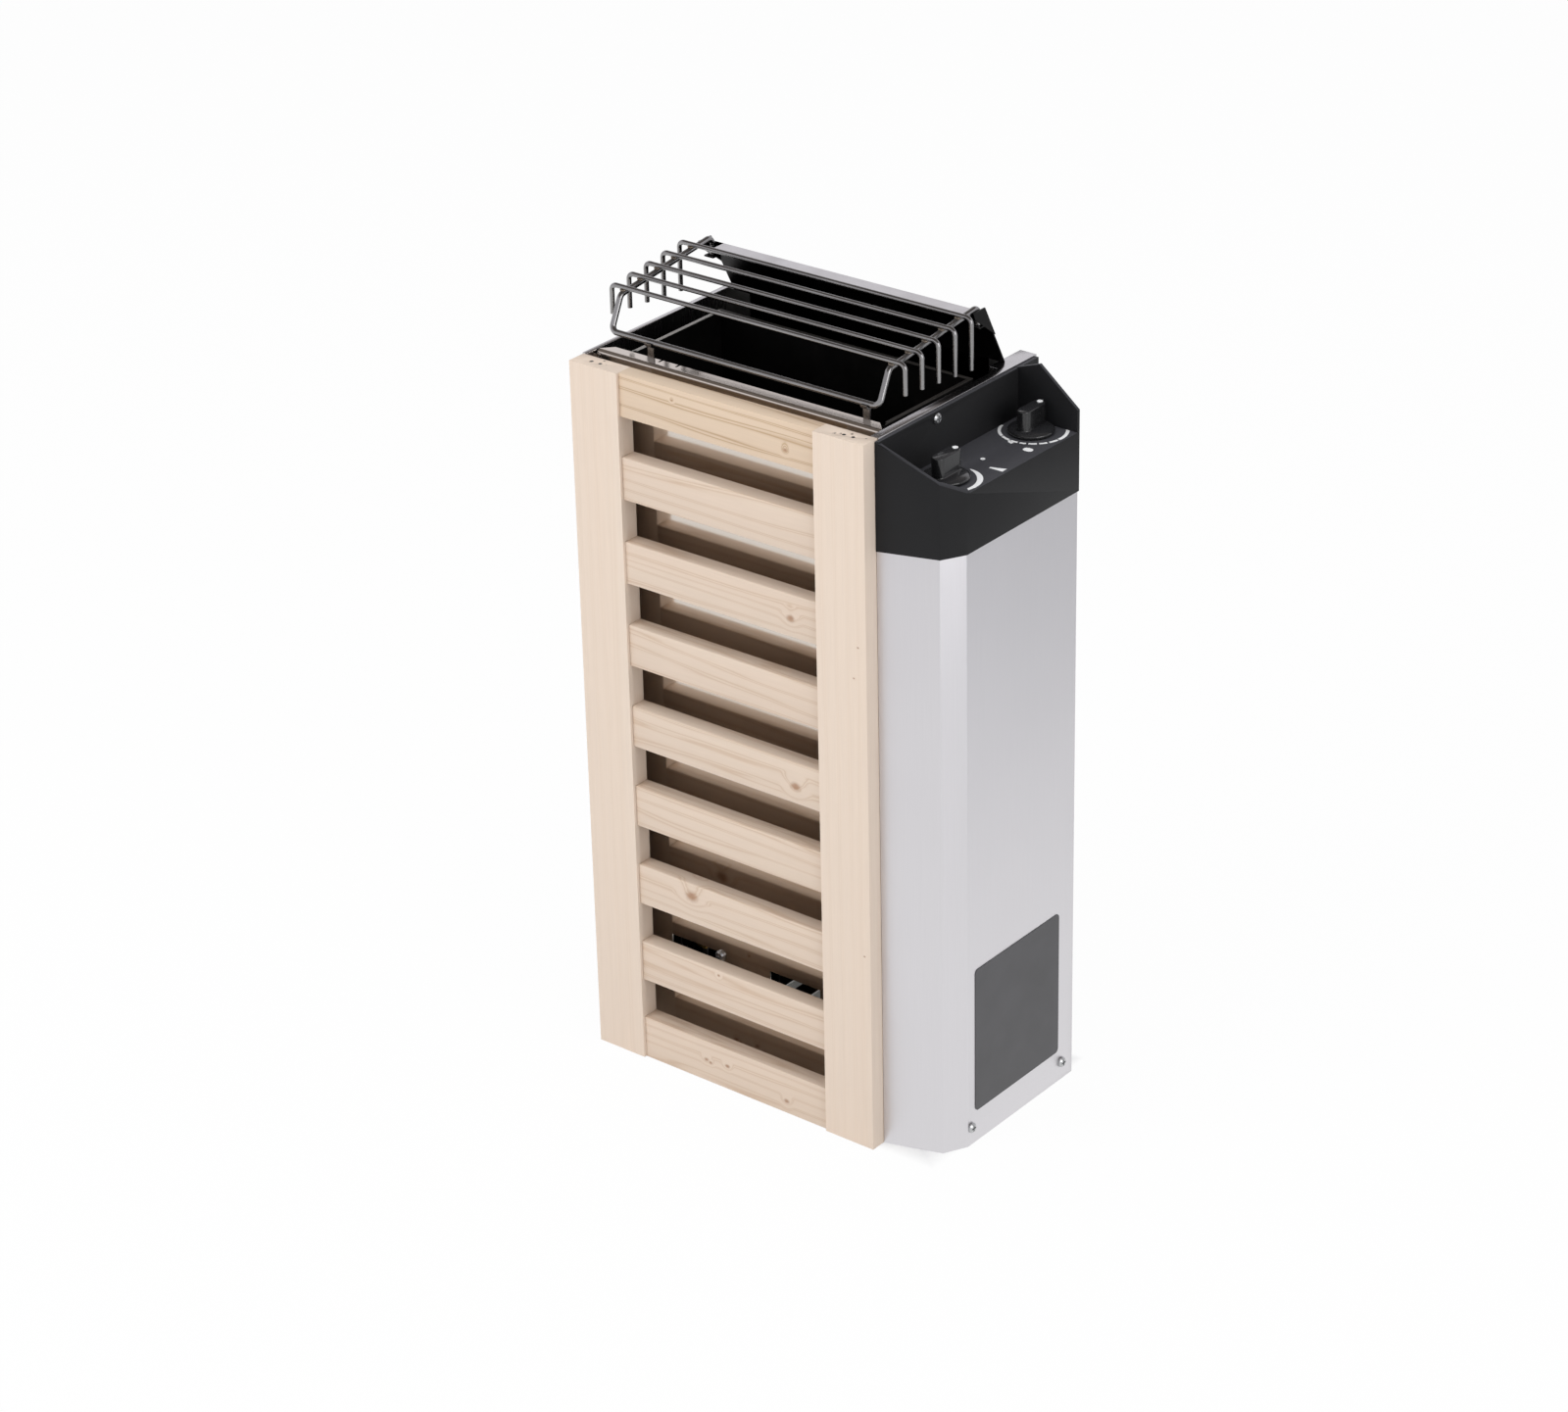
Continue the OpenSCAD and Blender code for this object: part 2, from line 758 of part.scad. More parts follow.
// U-shaped spacer between two parallel sheets, drawn along +X over the gap
module spacer(gap, w, h) {
    box([0, -w / 2, 0], [gap, w / 2, sheet_t]);
    box([0, -w / 2, 0], [sheet_t, w / 2, h]);
    box([gap - sheet_t, -w / 2, 0], [gap, w / 2, h]);
}

module wall_spacers() {
    spacer_w = 16;
    spacer_h = 14;
    low_z = grate_z + spacer_h;
    high_z = body_h - 4 * spacer_h;
    mid_y = (ch_y0 + ch_y1) / 2;
    color("silver") seat() for (z = [low_z, high_z]) {
        translate([sheet_t, mid_y, z]) spacer(left_gap, spacer_w, spacer_h);
        translate([ch_x1, mid_y, z]) spacer(right_gap, spacer_w, spacer_h);
        for (x = [mid_x - window_w, mid_x + window_w]) {
            translate([x, face_y + sheet_t, z]) rotate([0, 0, 90])
                spacer(chamber_front_gap, spacer_w, spacer_h);
            translate([x, ch_y1, z]) rotate([0, 0, 90])
                spacer(chamber_back_gap, spacer_w, spacer_h);
        }
    }
}

// Deflector

defl_x0 = deflector_inset;
defl_x1 = body_w - deflector_inset;
defl_top_y = defl_foot_y - deflector_lean;
defl_top_z = body_h + deflector_h;
defl_lip_y = defl_top_y - deflector_lip;
hook_y = defl_top_y - hook_in;
hook_low_z = defl_top_z - hook_l;

function defl_y(up) = defl_foot_y - deflector_lean * up / deflector_h;

// Leaning sheet with a level lip, a peak at each end and a shelf under each hook of the guard
module deflector() {
    foot_z = body_h - sheet_t - joint_gap;
    peak_z = deflector_h + peak_up;
    low_z = deflector_h * peak_low;
    shelf_z = hook_low_z - seat_gap;
    shelf_x = frame_inset + frame_wire_d;
    peak = [
        [defl_y(low_z), body_h + low_z],
        [defl_y(peak_z), body_h + peak_z],
        [defl_y(peak_z) - deflector_lip, body_h + peak_z],
        [defl_lip_y, defl_top_z - sheet_t]
    ];
    color("gainsboro") seat() {
        folded_yz([
            [defl_top_y, defl_top_z],
            [defl_foot_y, body_h]
        ], -sheet_t, defl_x0 + sheet_t, defl_x1 - sheet_t);
        box(
            [defl_x0 + lip_notch, defl_lip_y, defl_top_z - sheet_t],
            [defl_x1 - lip_notch, defl_top_y, defl_top_z]
        );
        for (x = [defl_x0, defl_x1 - sheet_t])
            translate([x, 0, 0]) rotate([90, 0, 90]) linear_extrude(sheet_t) polygon(peak);
        for (x = [defl_x0, defl_x1 - shelf_x + deflector_inset]) box(
            [x, hook_y - frame_wire_d, shelf_z - sheet_t],
            [x + shelf_x - deflector_inset, defl_y(shelf_z - body_h) - sheet_t / 2, shelf_z]
        );
        box(
            [defl_x0 + defl_foot_inset, back_y - sheet_t, foot_z - defl_foot_h],
            [defl_x1 - defl_foot_inset, back_y, body_h + sheet_t / 2]
        );
    }
}

// Stone guard

module guard_frame() {
    arm_z = function (y) wire_z0 - wire_drop + (y - wire_y0) * arm_slope;
    side = function (x) [
        [x, hook_y, hook_low_z],
        [x, hook_y, arm_z(hook_y)],
        [x, arm_start_y, arm_z(arm_start_y)],
        [x, bar_y, bar_z]
    ];
    color("darkgray") seat()
        bent_wire(concat(side(guard_x0), reversed(side(guard_x1))), wire_bend_r, frame_wire_d);
}

module guard_wire(i) {
    y = wire_y0 + i * wire_pitch;
    z = wire_z0 + i * wire_rise;
    foot = z - first_leg_l - i * leg_growth;
    color("darkgray") seat() bent_wire([
        [wire_end, y, foot],
        [wire_end, y, z],
        [body_w - wire_end, y, z],
        [body_w - wire_end, y, foot]
    ], cross_bend_r, cross_wire_d);
}

// Round cradles for the front bar, welded to the lip of the front sheet
module guard_clips() {
    clip_w = 5;
    clip_wall = 1.2;
    cradle_r = frame_wire_d / 2 + seat_gap;
    half = cradle_r + clip_wall;
    color("gainsboro") seat() for (x = [clip_left_x, body_w - clip_right_in]) {
        difference() {
            translate([x - clip_w / 2, bar_y, bar_z]) rotate([0, 90, 0]) cylinder(r = half, h = clip_w);
            translate([x - clip_w / 2 - over, bar_y, bar_z]) rotate([0, 90, 0])
                cylinder(r = cradle_r, h = clip_w + 2 * over);
            box([x - clip_w, bar_y - 2 * half, bar_z], [x + clip_w, bar_y + 2 * half, bar_z + 2 * half]);
        }
        box(
            [x - clip_w / 2, bar_y - clip_wall / 2, body_h],
            [x + clip_w / 2, bar_y + clip_wall / 2, bar_z - cradle_r - clip_wall / 2]
        );
    }
}

// Heating elements

module at_element_ends() {
    for (i = [0 : element_count - 1], side = [-1, 1])
        translate([
            element_mid_x + side * 3 * tube_bend_r,
            ch_y0 + sheet_t + (i + 0.5) * element_pitch,
            0
        ]) children();
}

module heating_element(i) {
    y = ch_y0 + sheet_t + (i + 0.5) * element_pitch;
    color("dimgray") seat() translate([element_mid_x, y, 0]) {
        for (side = [-1, 1]) {
            x_out = side * 3 * tube_bend_r;
            x_in = side * tube_bend_r;
            translate([x_out, 0, element_end_z]) cylinder(d = tube_d, h = element_top_c - element_end_z);
            translate([x_out, 0, element_end_z - pin_l]) cylinder(d = pin_d, h = pin_l);
            translate([x_out, 0, bracket_z + element_bracket_t]) cylinder(d = collar_d, h = collar_h);
            translate([x_in, 0, element_low_c]) cylinder(d = tube_d, h = element_top_c - element_low_c);
            translate([side * 2 * tube_bend_r, 0, element_top_c]) rotate([90, 0, 0])
                rotate_extrude(angle = 180) translate([tube_bend_r, 0]) circle(d = tube_d);
        }
        translate([0, 0, element_low_c]) rotate([-90, 0, 0])
            rotate_extrude(angle = 180) translate([tube_bend_r, 0]) circle(d = tube_d);
    }
}

module element_brackets() {
    color("silver") seat() difference() {
        for (side = [-1, 1]) translate([element_mid_x + side * 3 * tube_bend_r, 0, 0]) {
            box(
                [-element_bracket_w / 2, ch_y0 + sheet_t, bracket_z],
                [element_bracket_w / 2, ch_y1 - sheet_t, bracket_z + element_bracket_t]
            );
            for (y = [ch_y0 + sheet_t, ch_y1 - sheet_t - element_bracket_t])
                box(
                    [-element_bracket_w / 2, y, bracket_z],
                    [element_bracket_w / 2, y + element_bracket_t, bracket_z + element_flange_h]
                );
        }
        at_element_ends() translate([0, 0, bracket_z - over])
            cylinder(d = tube_d + 2 * seat_gap, h = element_bracket_t + 2 * over);
    }
}

bar_z0 = element_end_z - pin_l / 2;
bus_w = 9;
bus_t = 2;

module bus_bar() {
    x = element_mid_x - 3 * tube_bend_r;
    y0 = ch_y0 + sheet_t + element_pitch / 2;
    y1 = y0 + (element_count - 1) * element_pitch;
    color("goldenrod") seat() difference() {
        box([x - bus_w / 2, y0 - bus_w / 2, bar_z0], [x + bus_w / 2, y1 + bus_w / 2, bar_z0 + bus_t]);
        at_element_ends() translate([0, 0, bar_z0 - over]) cylinder(d = pin_d, h = bus_t + 2 * over);
    }
}

// Control housing

module housing_cover() {
    outline = concat([[hx0, hy0 + cover_fold]], plan, [[hx0, hy1 - cover_fold]]);
    color("lightgray") seat() difference() {
        linear_extrude(housing_h) polygon(ribbon(outline, sheet_t));
        at_cover_screws() translate([0, 0, -sheet_t - over])
            cylinder(d = cover_screw_d, h = sheet_t + 2 * over);
    }
}

module at_cover_screws() {
    for (y = [hy_chamfer + chamfer_d + cover_screw_front, hy1 - cover_screw_back])
        translate([hx1, y, cover_screw_z]) rotate([0, 90, 0]) children();
}

module at_cap_screw() {
    translate([body_w + cap_t, cap_screw_y, cap_inner_top - cap_screw_down])
        rotate([0, 90, 0]) children();
}

module housing_base() {
    flange_y0 = hy_chamfer + chamfer_d + sheet_t;
    tab_y0 = hy0 + 2 * cover_fold;
    tab_y1 = hy1 - 2 * cover_fold;
    lug_h = 14;
    color("silver") seat() difference() {
        union() {
            translate([0, 0, housing_base_z]) linear_extrude(sheet_t)
                polygon(inset(plan, sheet_t + joint_gap));
            box([hx0, tab_y0, housing_base_z], [hx0 + 2 * sheet_t, tab_y1, housing_base_z + sheet_t]);
            box([hx0, tab_y0, housing_base_z], [hx0 + sheet_t, tab_y1, housing_base_z + lug_h]);
            box(
                [hx1 - 2 * sheet_t, flange_y0, cover_screw_z - cover_screw_head_d / 2],
                [hx1 - sheet_t, hy1 - 2 * sheet_t, housing_base_z + sheet_t]
            );
        }
        at_cover_screws() translate([0, 0, -2 * sheet_t - over])
            cylinder(d = cover_screw_d, h = 2 * sheet_t + 2 * over);
        translate([gland_x, gland_y, housing_base_z - over]) cylinder(r = gland_r, h = sheet_t + 2 * over);
        translate([limiter_x, limiter_y, housing_base_z - over])
            cylinder(d = bush_d, h = sheet_t + 2 * over);
    }
}

module housing_screws() {
    color("silver") seat() {
        at_cover_screws() {
            cross_head(cover_screw_head_d, cover_screw_head_h);
            translate([0, 0, -screw_head_d]) cylinder(d = cover_screw_d, h = screw_head_d);
        }
        at_cap_screw() {
            cross_head(cover_screw_head_d, cover_screw_head_h);
            translate([0, 0, -cap_t - sheet_t]) cylinder(d = cover_screw_d, h = cap_t + sheet_t);
        }
    }
}

module data_plate() {
    y0 = hy1 - plate_back - plate_w;
    color("dimgray") seat()
        box([hx1, y0, plate_low_z], [hx1 + plate_t, y0 + plate_w, plate_low_z + plate_h]);
}

// Cap of the housing: outer walls, sloped cheeks, sunk knob panel and tall inner wall
module control_cap() {
    outer = inset(plan, -cap_proud);
    x_far = hx1 + cap_proud;
    chamfer_x = hx1 - chamfer_w;
    chamfer_y = hy_chamfer + chamfer_d;
    front_cheek = [
        [hx0, housing_h],
        [x_far + over, housing_h],
        [x_far + over, panel_z],
        [chamfer_x, panel_z + cap_chamfer_up],
        [hx0, cap_inner_top]
    ];
    back_cheek = [
        [hx0, housing_h],
        [x_far, housing_h],
        [x_far, panel_z + cheek_corner_h],
        [hx0 + housing_w * 0.4, panel_z + cheek_peak_h],
        [hx0, cap_inner_top]
    ];
    color("#303032") seat() difference() {
        union() {
            intersection() {
                linear_extrude(cap_inner_top) difference() {
                    polygon(outer);
                    polygon(inset(outer, cap_t));
                }
                plate_xz(front_cheek, hy0 - cap_t, chamfer_y + cap_t);
            }
            box([x_far - cap_t, chamfer_y, housing_h], [x_far, hy1 + cap_proud, panel_z]);
            plate_xz(back_cheek, hy1 + cap_proud - cap_t, hy1 + cap_proud);
            intersection() {
                translate([0, 0, panel_z - cap_t]) linear_extrude(cap_t) polygon(outer);
                box([hx0, 0, 0], [x_far, overall_d, body_h]);
            }
            box([hx0, hy0, panel_z - cap_t], [hx0 + cap_t, rear_y - sheet_t, cap_inner_top]);
        }
        for (y = [knob_front_y, knob_rear_y])
            translate([knob_x, y, panel_z - cap_t - over]) cylinder(d = bush_d, h = cap_t + 2 * over);
        at_cap_screw() translate([0, 0, -cap_t - over]) cylinder(d = cover_screw_d, h = cap_t + 2 * over);
        box([0, 0, 0], [hx0, overall_d, body_h + deflector_h]);
    }
}

// Controls

module control_body(y, h) {
    top = panel_z - cap_t;
    difference() {
        union() {
            box(
                [knob_x - control_w / 2, y - control_w / 2, top - h],
                [knob_x + control_w / 2, y + control_w / 2, top]
            );
            translate([knob_x, y, top]) cylinder(d = bush_d, h = cap_t);
        }
        translate([knob_x, y, panel_z - spindle_low - over])
            cylinder(d = spindle_d + 2 * run_gap, h = spindle_low + 2 * over);
    }
}

module spindle(y) {
    translate([knob_x, y, panel_z - spindle_low]) cylinder(d = spindle_d, h = spindle_low + knob_h / 2);
}

// Knob with a skirt and a raised grip bar that points to the back at rest
module knob(y) {
    grip_h = knob_h - skirt_h;
    end_r = grip_w / 2;
    translate([knob_x, y, panel_z + seat_gap]) difference() {
        union() {
            cylinder(d = knob_d, h = skirt_h - skirt_top_cut);
            translate([0, 0, skirt_h - skirt_top_cut])
                cylinder(d1 = knob_d, d2 = knob_d - 4 * skirt_top_cut, h = skirt_top_cut);
            box([-grip_w / 2, end_r - grip_l / 2, 0], [grip_w / 2, grip_l / 2 - end_r, skirt_h + grip_h]);
            for (side = [-1, 1]) translate([0, side * (grip_l / 2 - end_r), 0])
                cylinder(r = end_r, h = skirt_h + grip_h);
        }
        translate([0, 0, -over]) cylinder(d = spindle_d, h = knob_h / 2 - seat_gap + over);
    }
}

module thermostat_body() { color("ivory") seat() control_body(knob_rear_y, thermostat_h); }
module thermostat_spindle() { color("silver") seat() spindle(knob_rear_y); }
module thermostat_knob() { color("#202022") seat() knob(knob_rear_y); }
module timer_body() { color("ivory") seat() control_body(knob_front_y, timer_h); }
module timer_spindle() { color("silver") seat() spindle(knob_front_y); }
module timer_knob() { color("#202022") seat() knob(knob_front_y); }

module thermostat_sensor() {
    top = panel_z - cap_t - thermostat_h;
    color("peru") seat() {
        bent_wire([
            [thermostat_tap_x, thermostat_tap_y, top],
            [thermostat_tap_x, thermostat_tap_y, thermostat_hole_z],
            [bulb_x, thermostat_tap_y, thermostat_hole_z],
            [bulb_x, thermostat_tap_y, thermostat_hole_z - 3 * sensor_turn_r]
        ], sensor_turn_r, capillary_d);
        translate([bulb_x, thermostat_tap_y, thermostat_hole_z - 3 * sensor_turn_r - bulb_l])
            cylinder(r = bulb_r, h = bulb_l);
    }
}

module limiter_sensor() {
    floor_z = housing_base_z + sheet_t + limiter_h;
    color("peru") seat() {
        bent_wire([
            [limiter_tap_x, limiter_tap_y, floor_z],
            [limiter_tap_x, limiter_tap_y, limiter_hole_z],
            [limiter_tap_x, limiter_hole_y, limiter_hole_z],
            [bulb_x, limiter_hole_y, limiter_hole_z],
            [bulb_x, limiter_hole_y, limiter_hole_z - 3 * sensor_turn_r]
        ], sensor_turn_r, capillary_d);
        translate([bulb_x, limiter_hole_y, limiter_hole_z - 3 * sensor_turn_r - bulb_l])
            cylinder(r = bulb_r, h = bulb_l);
    }
}

module limiter_body() {
    floor_z = housing_base_z + sheet_t;
    bore_top = housing_base_z - button_out + button_l + button_travel + seat_gap;
    color("ivory") seat() difference() {
        union() {
            translate([limiter_x - limiter_w / 2, limiter_y - limiter_w / 2, floor_z])
                cube([limiter_w, limiter_w, limiter_h]);
            translate([limiter_x, limiter_y, housing_base_z - sheet_t])
                cylinder(d = bush_d, h = 2 * sheet_t);
        }
        translate([limiter_x, limiter_y, housing_base_z - sheet_t - over])
            cylinder(d = button_d + 2 * run_gap, h = bore_top - housing_base_z + sheet_t + over);
    }
}

module reset_button() {
    color("crimson") seat() translate([limiter_x, limiter_y, housing_base_z - button_out])
        cylinder(d = button_d, h = button_l);
}

module terminal_block() {
    floor_z = housing_base_z + sheet_t;
    pole = terminal_l / terminal_poles;
    screw_r = 2.5;
    screw_deep = 6;
    color("whitesmoke") seat() translate([terminal_x, terminal_y, floor_z]) difference() {
        cube([terminal_w, terminal_l, terminal_h]);
        for (i = [0 : terminal_poles - 1])
            translate([terminal_w / 4, (i + 0.5) * pole, terminal_h - screw_deep])
                cylinder(r = screw_r, h = screw_deep + over);
    }
}

module cable_gland() {
    hex_h = 6;
    thread_h = 7;
    dome_h = gland_drop - hex_h;
    color("#38383a") seat() translate([gland_x, gland_y, housing_base_z]) difference() {
        union() {
            translate([0, 0, -hex_h]) cylinder(r = gland_hex_r, h = hex_h, $fn = 6);
            translate([0, 0, -hex_h]) cylinder(r = gland_r, h = hex_h + sheet_t + thread_h);
            translate([0, 0, -hex_h - dome_h * 0.6]) cylinder(r = gland_hex_r - gland_wall / 2, h = dome_h * 0.6);
            translate([0, 0, -gland_drop])
                cylinder(r1 = gland_bore_r + gland_wall, r2 = gland_hex_r - gland_wall / 2, h = dome_h * 0.4);
        }
        translate([0, 0, -gland_drop - over])
            cylinder(r = gland_bore_r, h = gland_drop + sheet_t + thread_h + 2 * over);
    }
}

module gland_nut() {
    nut_h = 5;
    color("#38383a") seat() translate([gland_x, gland_y, housing_base_z + sheet_t]) difference() {
        cylinder(r = gland_hex_r, h = nut_h, $fn = 6);
        translate([0, 0, -over]) cylinder(r = gland_r, h = nut_h + 2 * over);
    }
}

// Insulated wires: mains up to the timer, and one from the thermostat to each element
module power_wires() {
    block_top = housing_base_z + sheet_t + terminal_h;
    pole = terminal_l / terminal_poles;
    timer_low = panel_z - cap_t - timer_h;
    thermostat_low = panel_z - cap_t - thermostat_h;
    run_z = timer_low - wire_rise_gap;
    x_pin = element_mid_x + 3 * tube_bend_r;
    x_mains = terminal_x + terminal_w * 3 / 4;
    color("sienna") seat() {
        for (i = [0, 1]) {
            y = terminal_y + (i + 1.5) * pole;
            y_up = knob_front_y + i * pole / 2;
            z = run_z + i * wire_row;
            bent_wire([
                [x_mains, y, block_top],
                [x_mains, y, z],
                [x_mains, y_up, z],
                [x_mains, y_up, timer_low]
            ], wire_turn_r, wire_d);
        }
        for (i = [0 : element_count - 1]) {
            x = knob_x + i * wire_row;
            y = power_hole_y + (i - 1) * wire_row;
            y_pin = ch_y0 + sheet_t + (i + 0.5) * element_pitch;
            fan = i * 2 == element_count - 1 ? [] : [
                [x_pin + 7 * wire_d, y, power_hole_z],
                [x_pin + 4 * wire_d, y_pin, power_hole_z]
            ];
            bent_wire(concat([
                [x, knob_rear_y, thermostat_low],
                [x, knob_rear_y, thermostat_low - 4 * wire_d],
                [x, y, thermostat_low - 8 * wire_d],
                [x, y, power_hole_z]
            ], fan, [[x_pin + pin_d / 2, y_pin, power_hole_z]]), wire_turn_r, wire_d);
        }
    }
}

module grommet(y, z, r, bore) {
    lip = grommet_lip;
    translate([body_w - sheet_t, y, z]) rotate([0, 90, 0]) difference() {
        union() {
            translate([0, 0, -lip]) cylinder(r = r + lip, h = lip);
            cylinder(r = r, h = sheet_t);
            translate([0, 0, sheet_t]) cylinder(r = r + lip, h = lip);
        }
        translate([0, 0, -lip - over]) cylinder(r = bore, h = sheet_t + 2 * lip + 2 * over);
    }
}

module partition_grommets() {
    thin = capillary_d / 2 + joint_gap;
    color("#282828") seat() {
        grommet(power_hole_y, power_hole_z, power_hole_r, power_hole_r - grommet_wall);
        grommet(thermostat_tap_y, thermostat_hole_z, small_hole_r, thin);
        grommet(limiter_hole_y, limiter_hole_z, small_hole_r, thin);
    }
}

// Wall fixings

hook_z = bracket_mid_z - hook_t / 2;

module at_rails() {
    for (x = [rail_inset, body_w - rail_inset]) translate([x, 0, 0]) children();
}

module back_rails() {
    slot_w = hook_w + hook_play;
    y0 = back_y + sheet_t;
    color("silver") seat() at_rails() difference() {
        union() {
            box([-rail_w / 2, rear_y - sheet_t, rail_low_z], [rail_w / 2, rear_y, rail_high_z]);
            for (side = [-1, 1]) translate([side * (rail_w - sheet_t) / 2 - sheet_t / 2, 0, 0])
                box([0, y0, rail_low_z], [sheet_t, rear_y, rail_high_z]);
        }
        box(
            [-slot_w / 2, rear_y - sheet_t - over, hook_z - hook_up - hook_t],
            [slot_w / 2, rear_y + over, hook_z + hook_t + joint_gap]
        );
    }
}

module wall_bracket() {
    half_w = mid_x - rail_inset + rail_w / 2 + hook_w / 2;
    tip_y = rear_y - hook_reach;
    color("silver") seat() {
        difference() {
            box(
                [mid_x - half_w, rear_y, bracket_mid_z - bracket_h / 2],
                [mid_x + half_w, overall_d, bracket_mid_z + bracket_h / 2]
            );
            for (sx = [-1, 1], sz = [-1, 1])
                translate([
                    mid_x + sx * screw_span_w / 2, overall_d + over, bracket_mid_z + sz * screw_span_h / 2
                ]) rotate([90, 0, 0]) cylinder(d = screw_hole_d, h = bracket_t + 2 * over);
        }
        at_rails() {
            box([-hook_w / 2, tip_y, hook_z], [hook_w / 2, rear_y + sheet_t, hook_z + hook_t]);
            box([-hook_w / 2, tip_y, hook_z], [hook_w / 2, tip_y + hook_t, hook_z + hook_t + hook_up]);
        }
    }
}

stile_left();
stile_right();
top_rail();
slat(0);  // slat_1
slat(1);  // slat_2
slat(2);  // slat_3
slat(3);  // slat_4
slat(4);  // slat_5
slat(5);  // slat_6
slat(6);  // slat_7
bottom_rail();
brads();
wood_standoffs();
front_sheet_screws();
left_side_panel();
right_side_panel();
front_sheet();
back_sheet();
base_plate();
chamber_left_wall();
chamber_right_wall();
chamber_front_wall();
chamber_back_wall();
stone_grate();
wall_spacers();
deflector();
guard_clips();
guard_frame();
guard_wire(0);  // guard_wire_1
guard_wire(1);  // guard_wire_2
guard_wire(2);  // guard_wire_3
guard_wire(3);  // guard_wire_4
guard_wire(4);  // guard_wire_5
heating_element(0);  // heating_element_1
heating_element(1);  // heating_element_2
heating_element(2);  // heating_element_3
element_brackets();
bus_bar();
housing_cover();
housing_base();
control_cap();
housing_screws();
data_plate();
thermostat_body();
thermostat_spindle();
thermostat_knob();
thermostat_sensor();
timer_body();
timer_spindle();
timer_knob();
limiter_body();
limiter_sensor();
reset_button();
terminal_block();
cable_gland();
gland_nut();
power_wires();
partition_grommets();
wall_bracket();
back_rails();
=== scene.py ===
import math

import bpy
from mathutils import Matrix, Vector


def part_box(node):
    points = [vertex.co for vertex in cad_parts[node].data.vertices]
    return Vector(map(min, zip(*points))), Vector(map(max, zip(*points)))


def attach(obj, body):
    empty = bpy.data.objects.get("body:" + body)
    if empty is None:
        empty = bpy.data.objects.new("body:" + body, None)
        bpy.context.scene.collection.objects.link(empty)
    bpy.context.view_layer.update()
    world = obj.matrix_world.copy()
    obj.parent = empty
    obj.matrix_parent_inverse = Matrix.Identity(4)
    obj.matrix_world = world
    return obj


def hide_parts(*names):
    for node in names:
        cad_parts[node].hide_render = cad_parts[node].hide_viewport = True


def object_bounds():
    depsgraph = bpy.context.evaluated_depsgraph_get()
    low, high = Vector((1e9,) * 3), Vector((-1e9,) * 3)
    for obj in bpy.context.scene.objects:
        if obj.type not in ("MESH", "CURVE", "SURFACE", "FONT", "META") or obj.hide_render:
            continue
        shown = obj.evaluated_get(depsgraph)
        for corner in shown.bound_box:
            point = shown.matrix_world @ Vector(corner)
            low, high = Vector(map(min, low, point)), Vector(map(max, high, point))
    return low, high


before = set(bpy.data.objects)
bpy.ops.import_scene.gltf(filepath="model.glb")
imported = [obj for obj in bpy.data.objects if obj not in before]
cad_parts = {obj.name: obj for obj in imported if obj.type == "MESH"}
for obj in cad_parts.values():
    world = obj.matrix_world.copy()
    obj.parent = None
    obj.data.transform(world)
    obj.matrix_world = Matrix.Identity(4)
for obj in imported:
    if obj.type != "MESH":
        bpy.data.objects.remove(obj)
cad_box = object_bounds()


# The place the heater was photographed in: a long lens that looks down on its front right corner.
# The camera is set in metres from the heater's front left corner on the floor, angles are degrees.
view_turn, view_height, view_roll = math.radians(39.02), math.radians(26.8), math.radians(-1.37)
view_distance, view_right, view_up = 2.94076, -0.12644, -0.22738
view_focal, photo_w = 4387.86, 1600
heater_corner = Vector((cad_box[0][0], cad_box[0][1], 0))
back = Vector((math.sin(view_turn) * math.cos(view_height),
               -math.cos(view_turn) * math.cos(view_height), math.sin(view_height)))
right = Vector((0, 0, 1)).cross(back).normalized()
up = back.cross(right)
right, up = (right * math.cos(view_roll) + up * math.sin(view_roll),
             up * math.cos(view_roll) - right * math.sin(view_roll))
lens = bpy.data.cameras.new("camera")
lens.sensor_width = 36
lens.lens = view_focal / photo_w * lens.sensor_width
lens.clip_start, lens.clip_end = 0.05, 60
camera = bpy.data.objects.new("camera", lens)
bpy.context.scene.collection.objects.link(camera)
place = heater_corner + back * view_distance - right * view_right - up * view_up
camera.matrix_world = Matrix.Translation(place) @ Matrix((right, up, back)).transposed().to_4x4()
bpy.context.scene.camera = camera
bpy.context.scene.view_settings.view_transform = "Standard"


# Colours are picked as sRGB hex values and turned to linear here.
def tone(code):
    parts = [int(code[i:i + 2], 16) / 255 for i in (1, 3, 5)]
    return [c / 12.92 if c <= 0.04045 else ((c + 0.055) / 1.055) ** 2.4 for c in parts] + [1.0]


def new_finish(name):
    material = bpy.data.materials.new(name)
    material.use_nodes = True
    material.node_tree.nodes.clear()
    return material, material.node_tree


# Adds a shader node with its settings, its links or values, and the stops of its ramp.
def add(tree, kind, sockets=None, stops=None, **settings):
    node = tree.nodes.new("ShaderNode" + kind)
    for name, value in settings.items():
        setattr(node, name, value)
    for name, value in (sockets or {}).items():
        if isinstance(value, bpy.types.NodeSocket):
            tree.links.new(value, node.inputs[name])
        else:
            node.inputs[name].default_value = value
    if stops:
        steps = node.color_ramp.elements
        while len(steps) < len(stops):
            steps.new(0.5)
        for step, (position, code) in zip(steps, stops):
            step.position, step.color = position, tone(code)
    return node


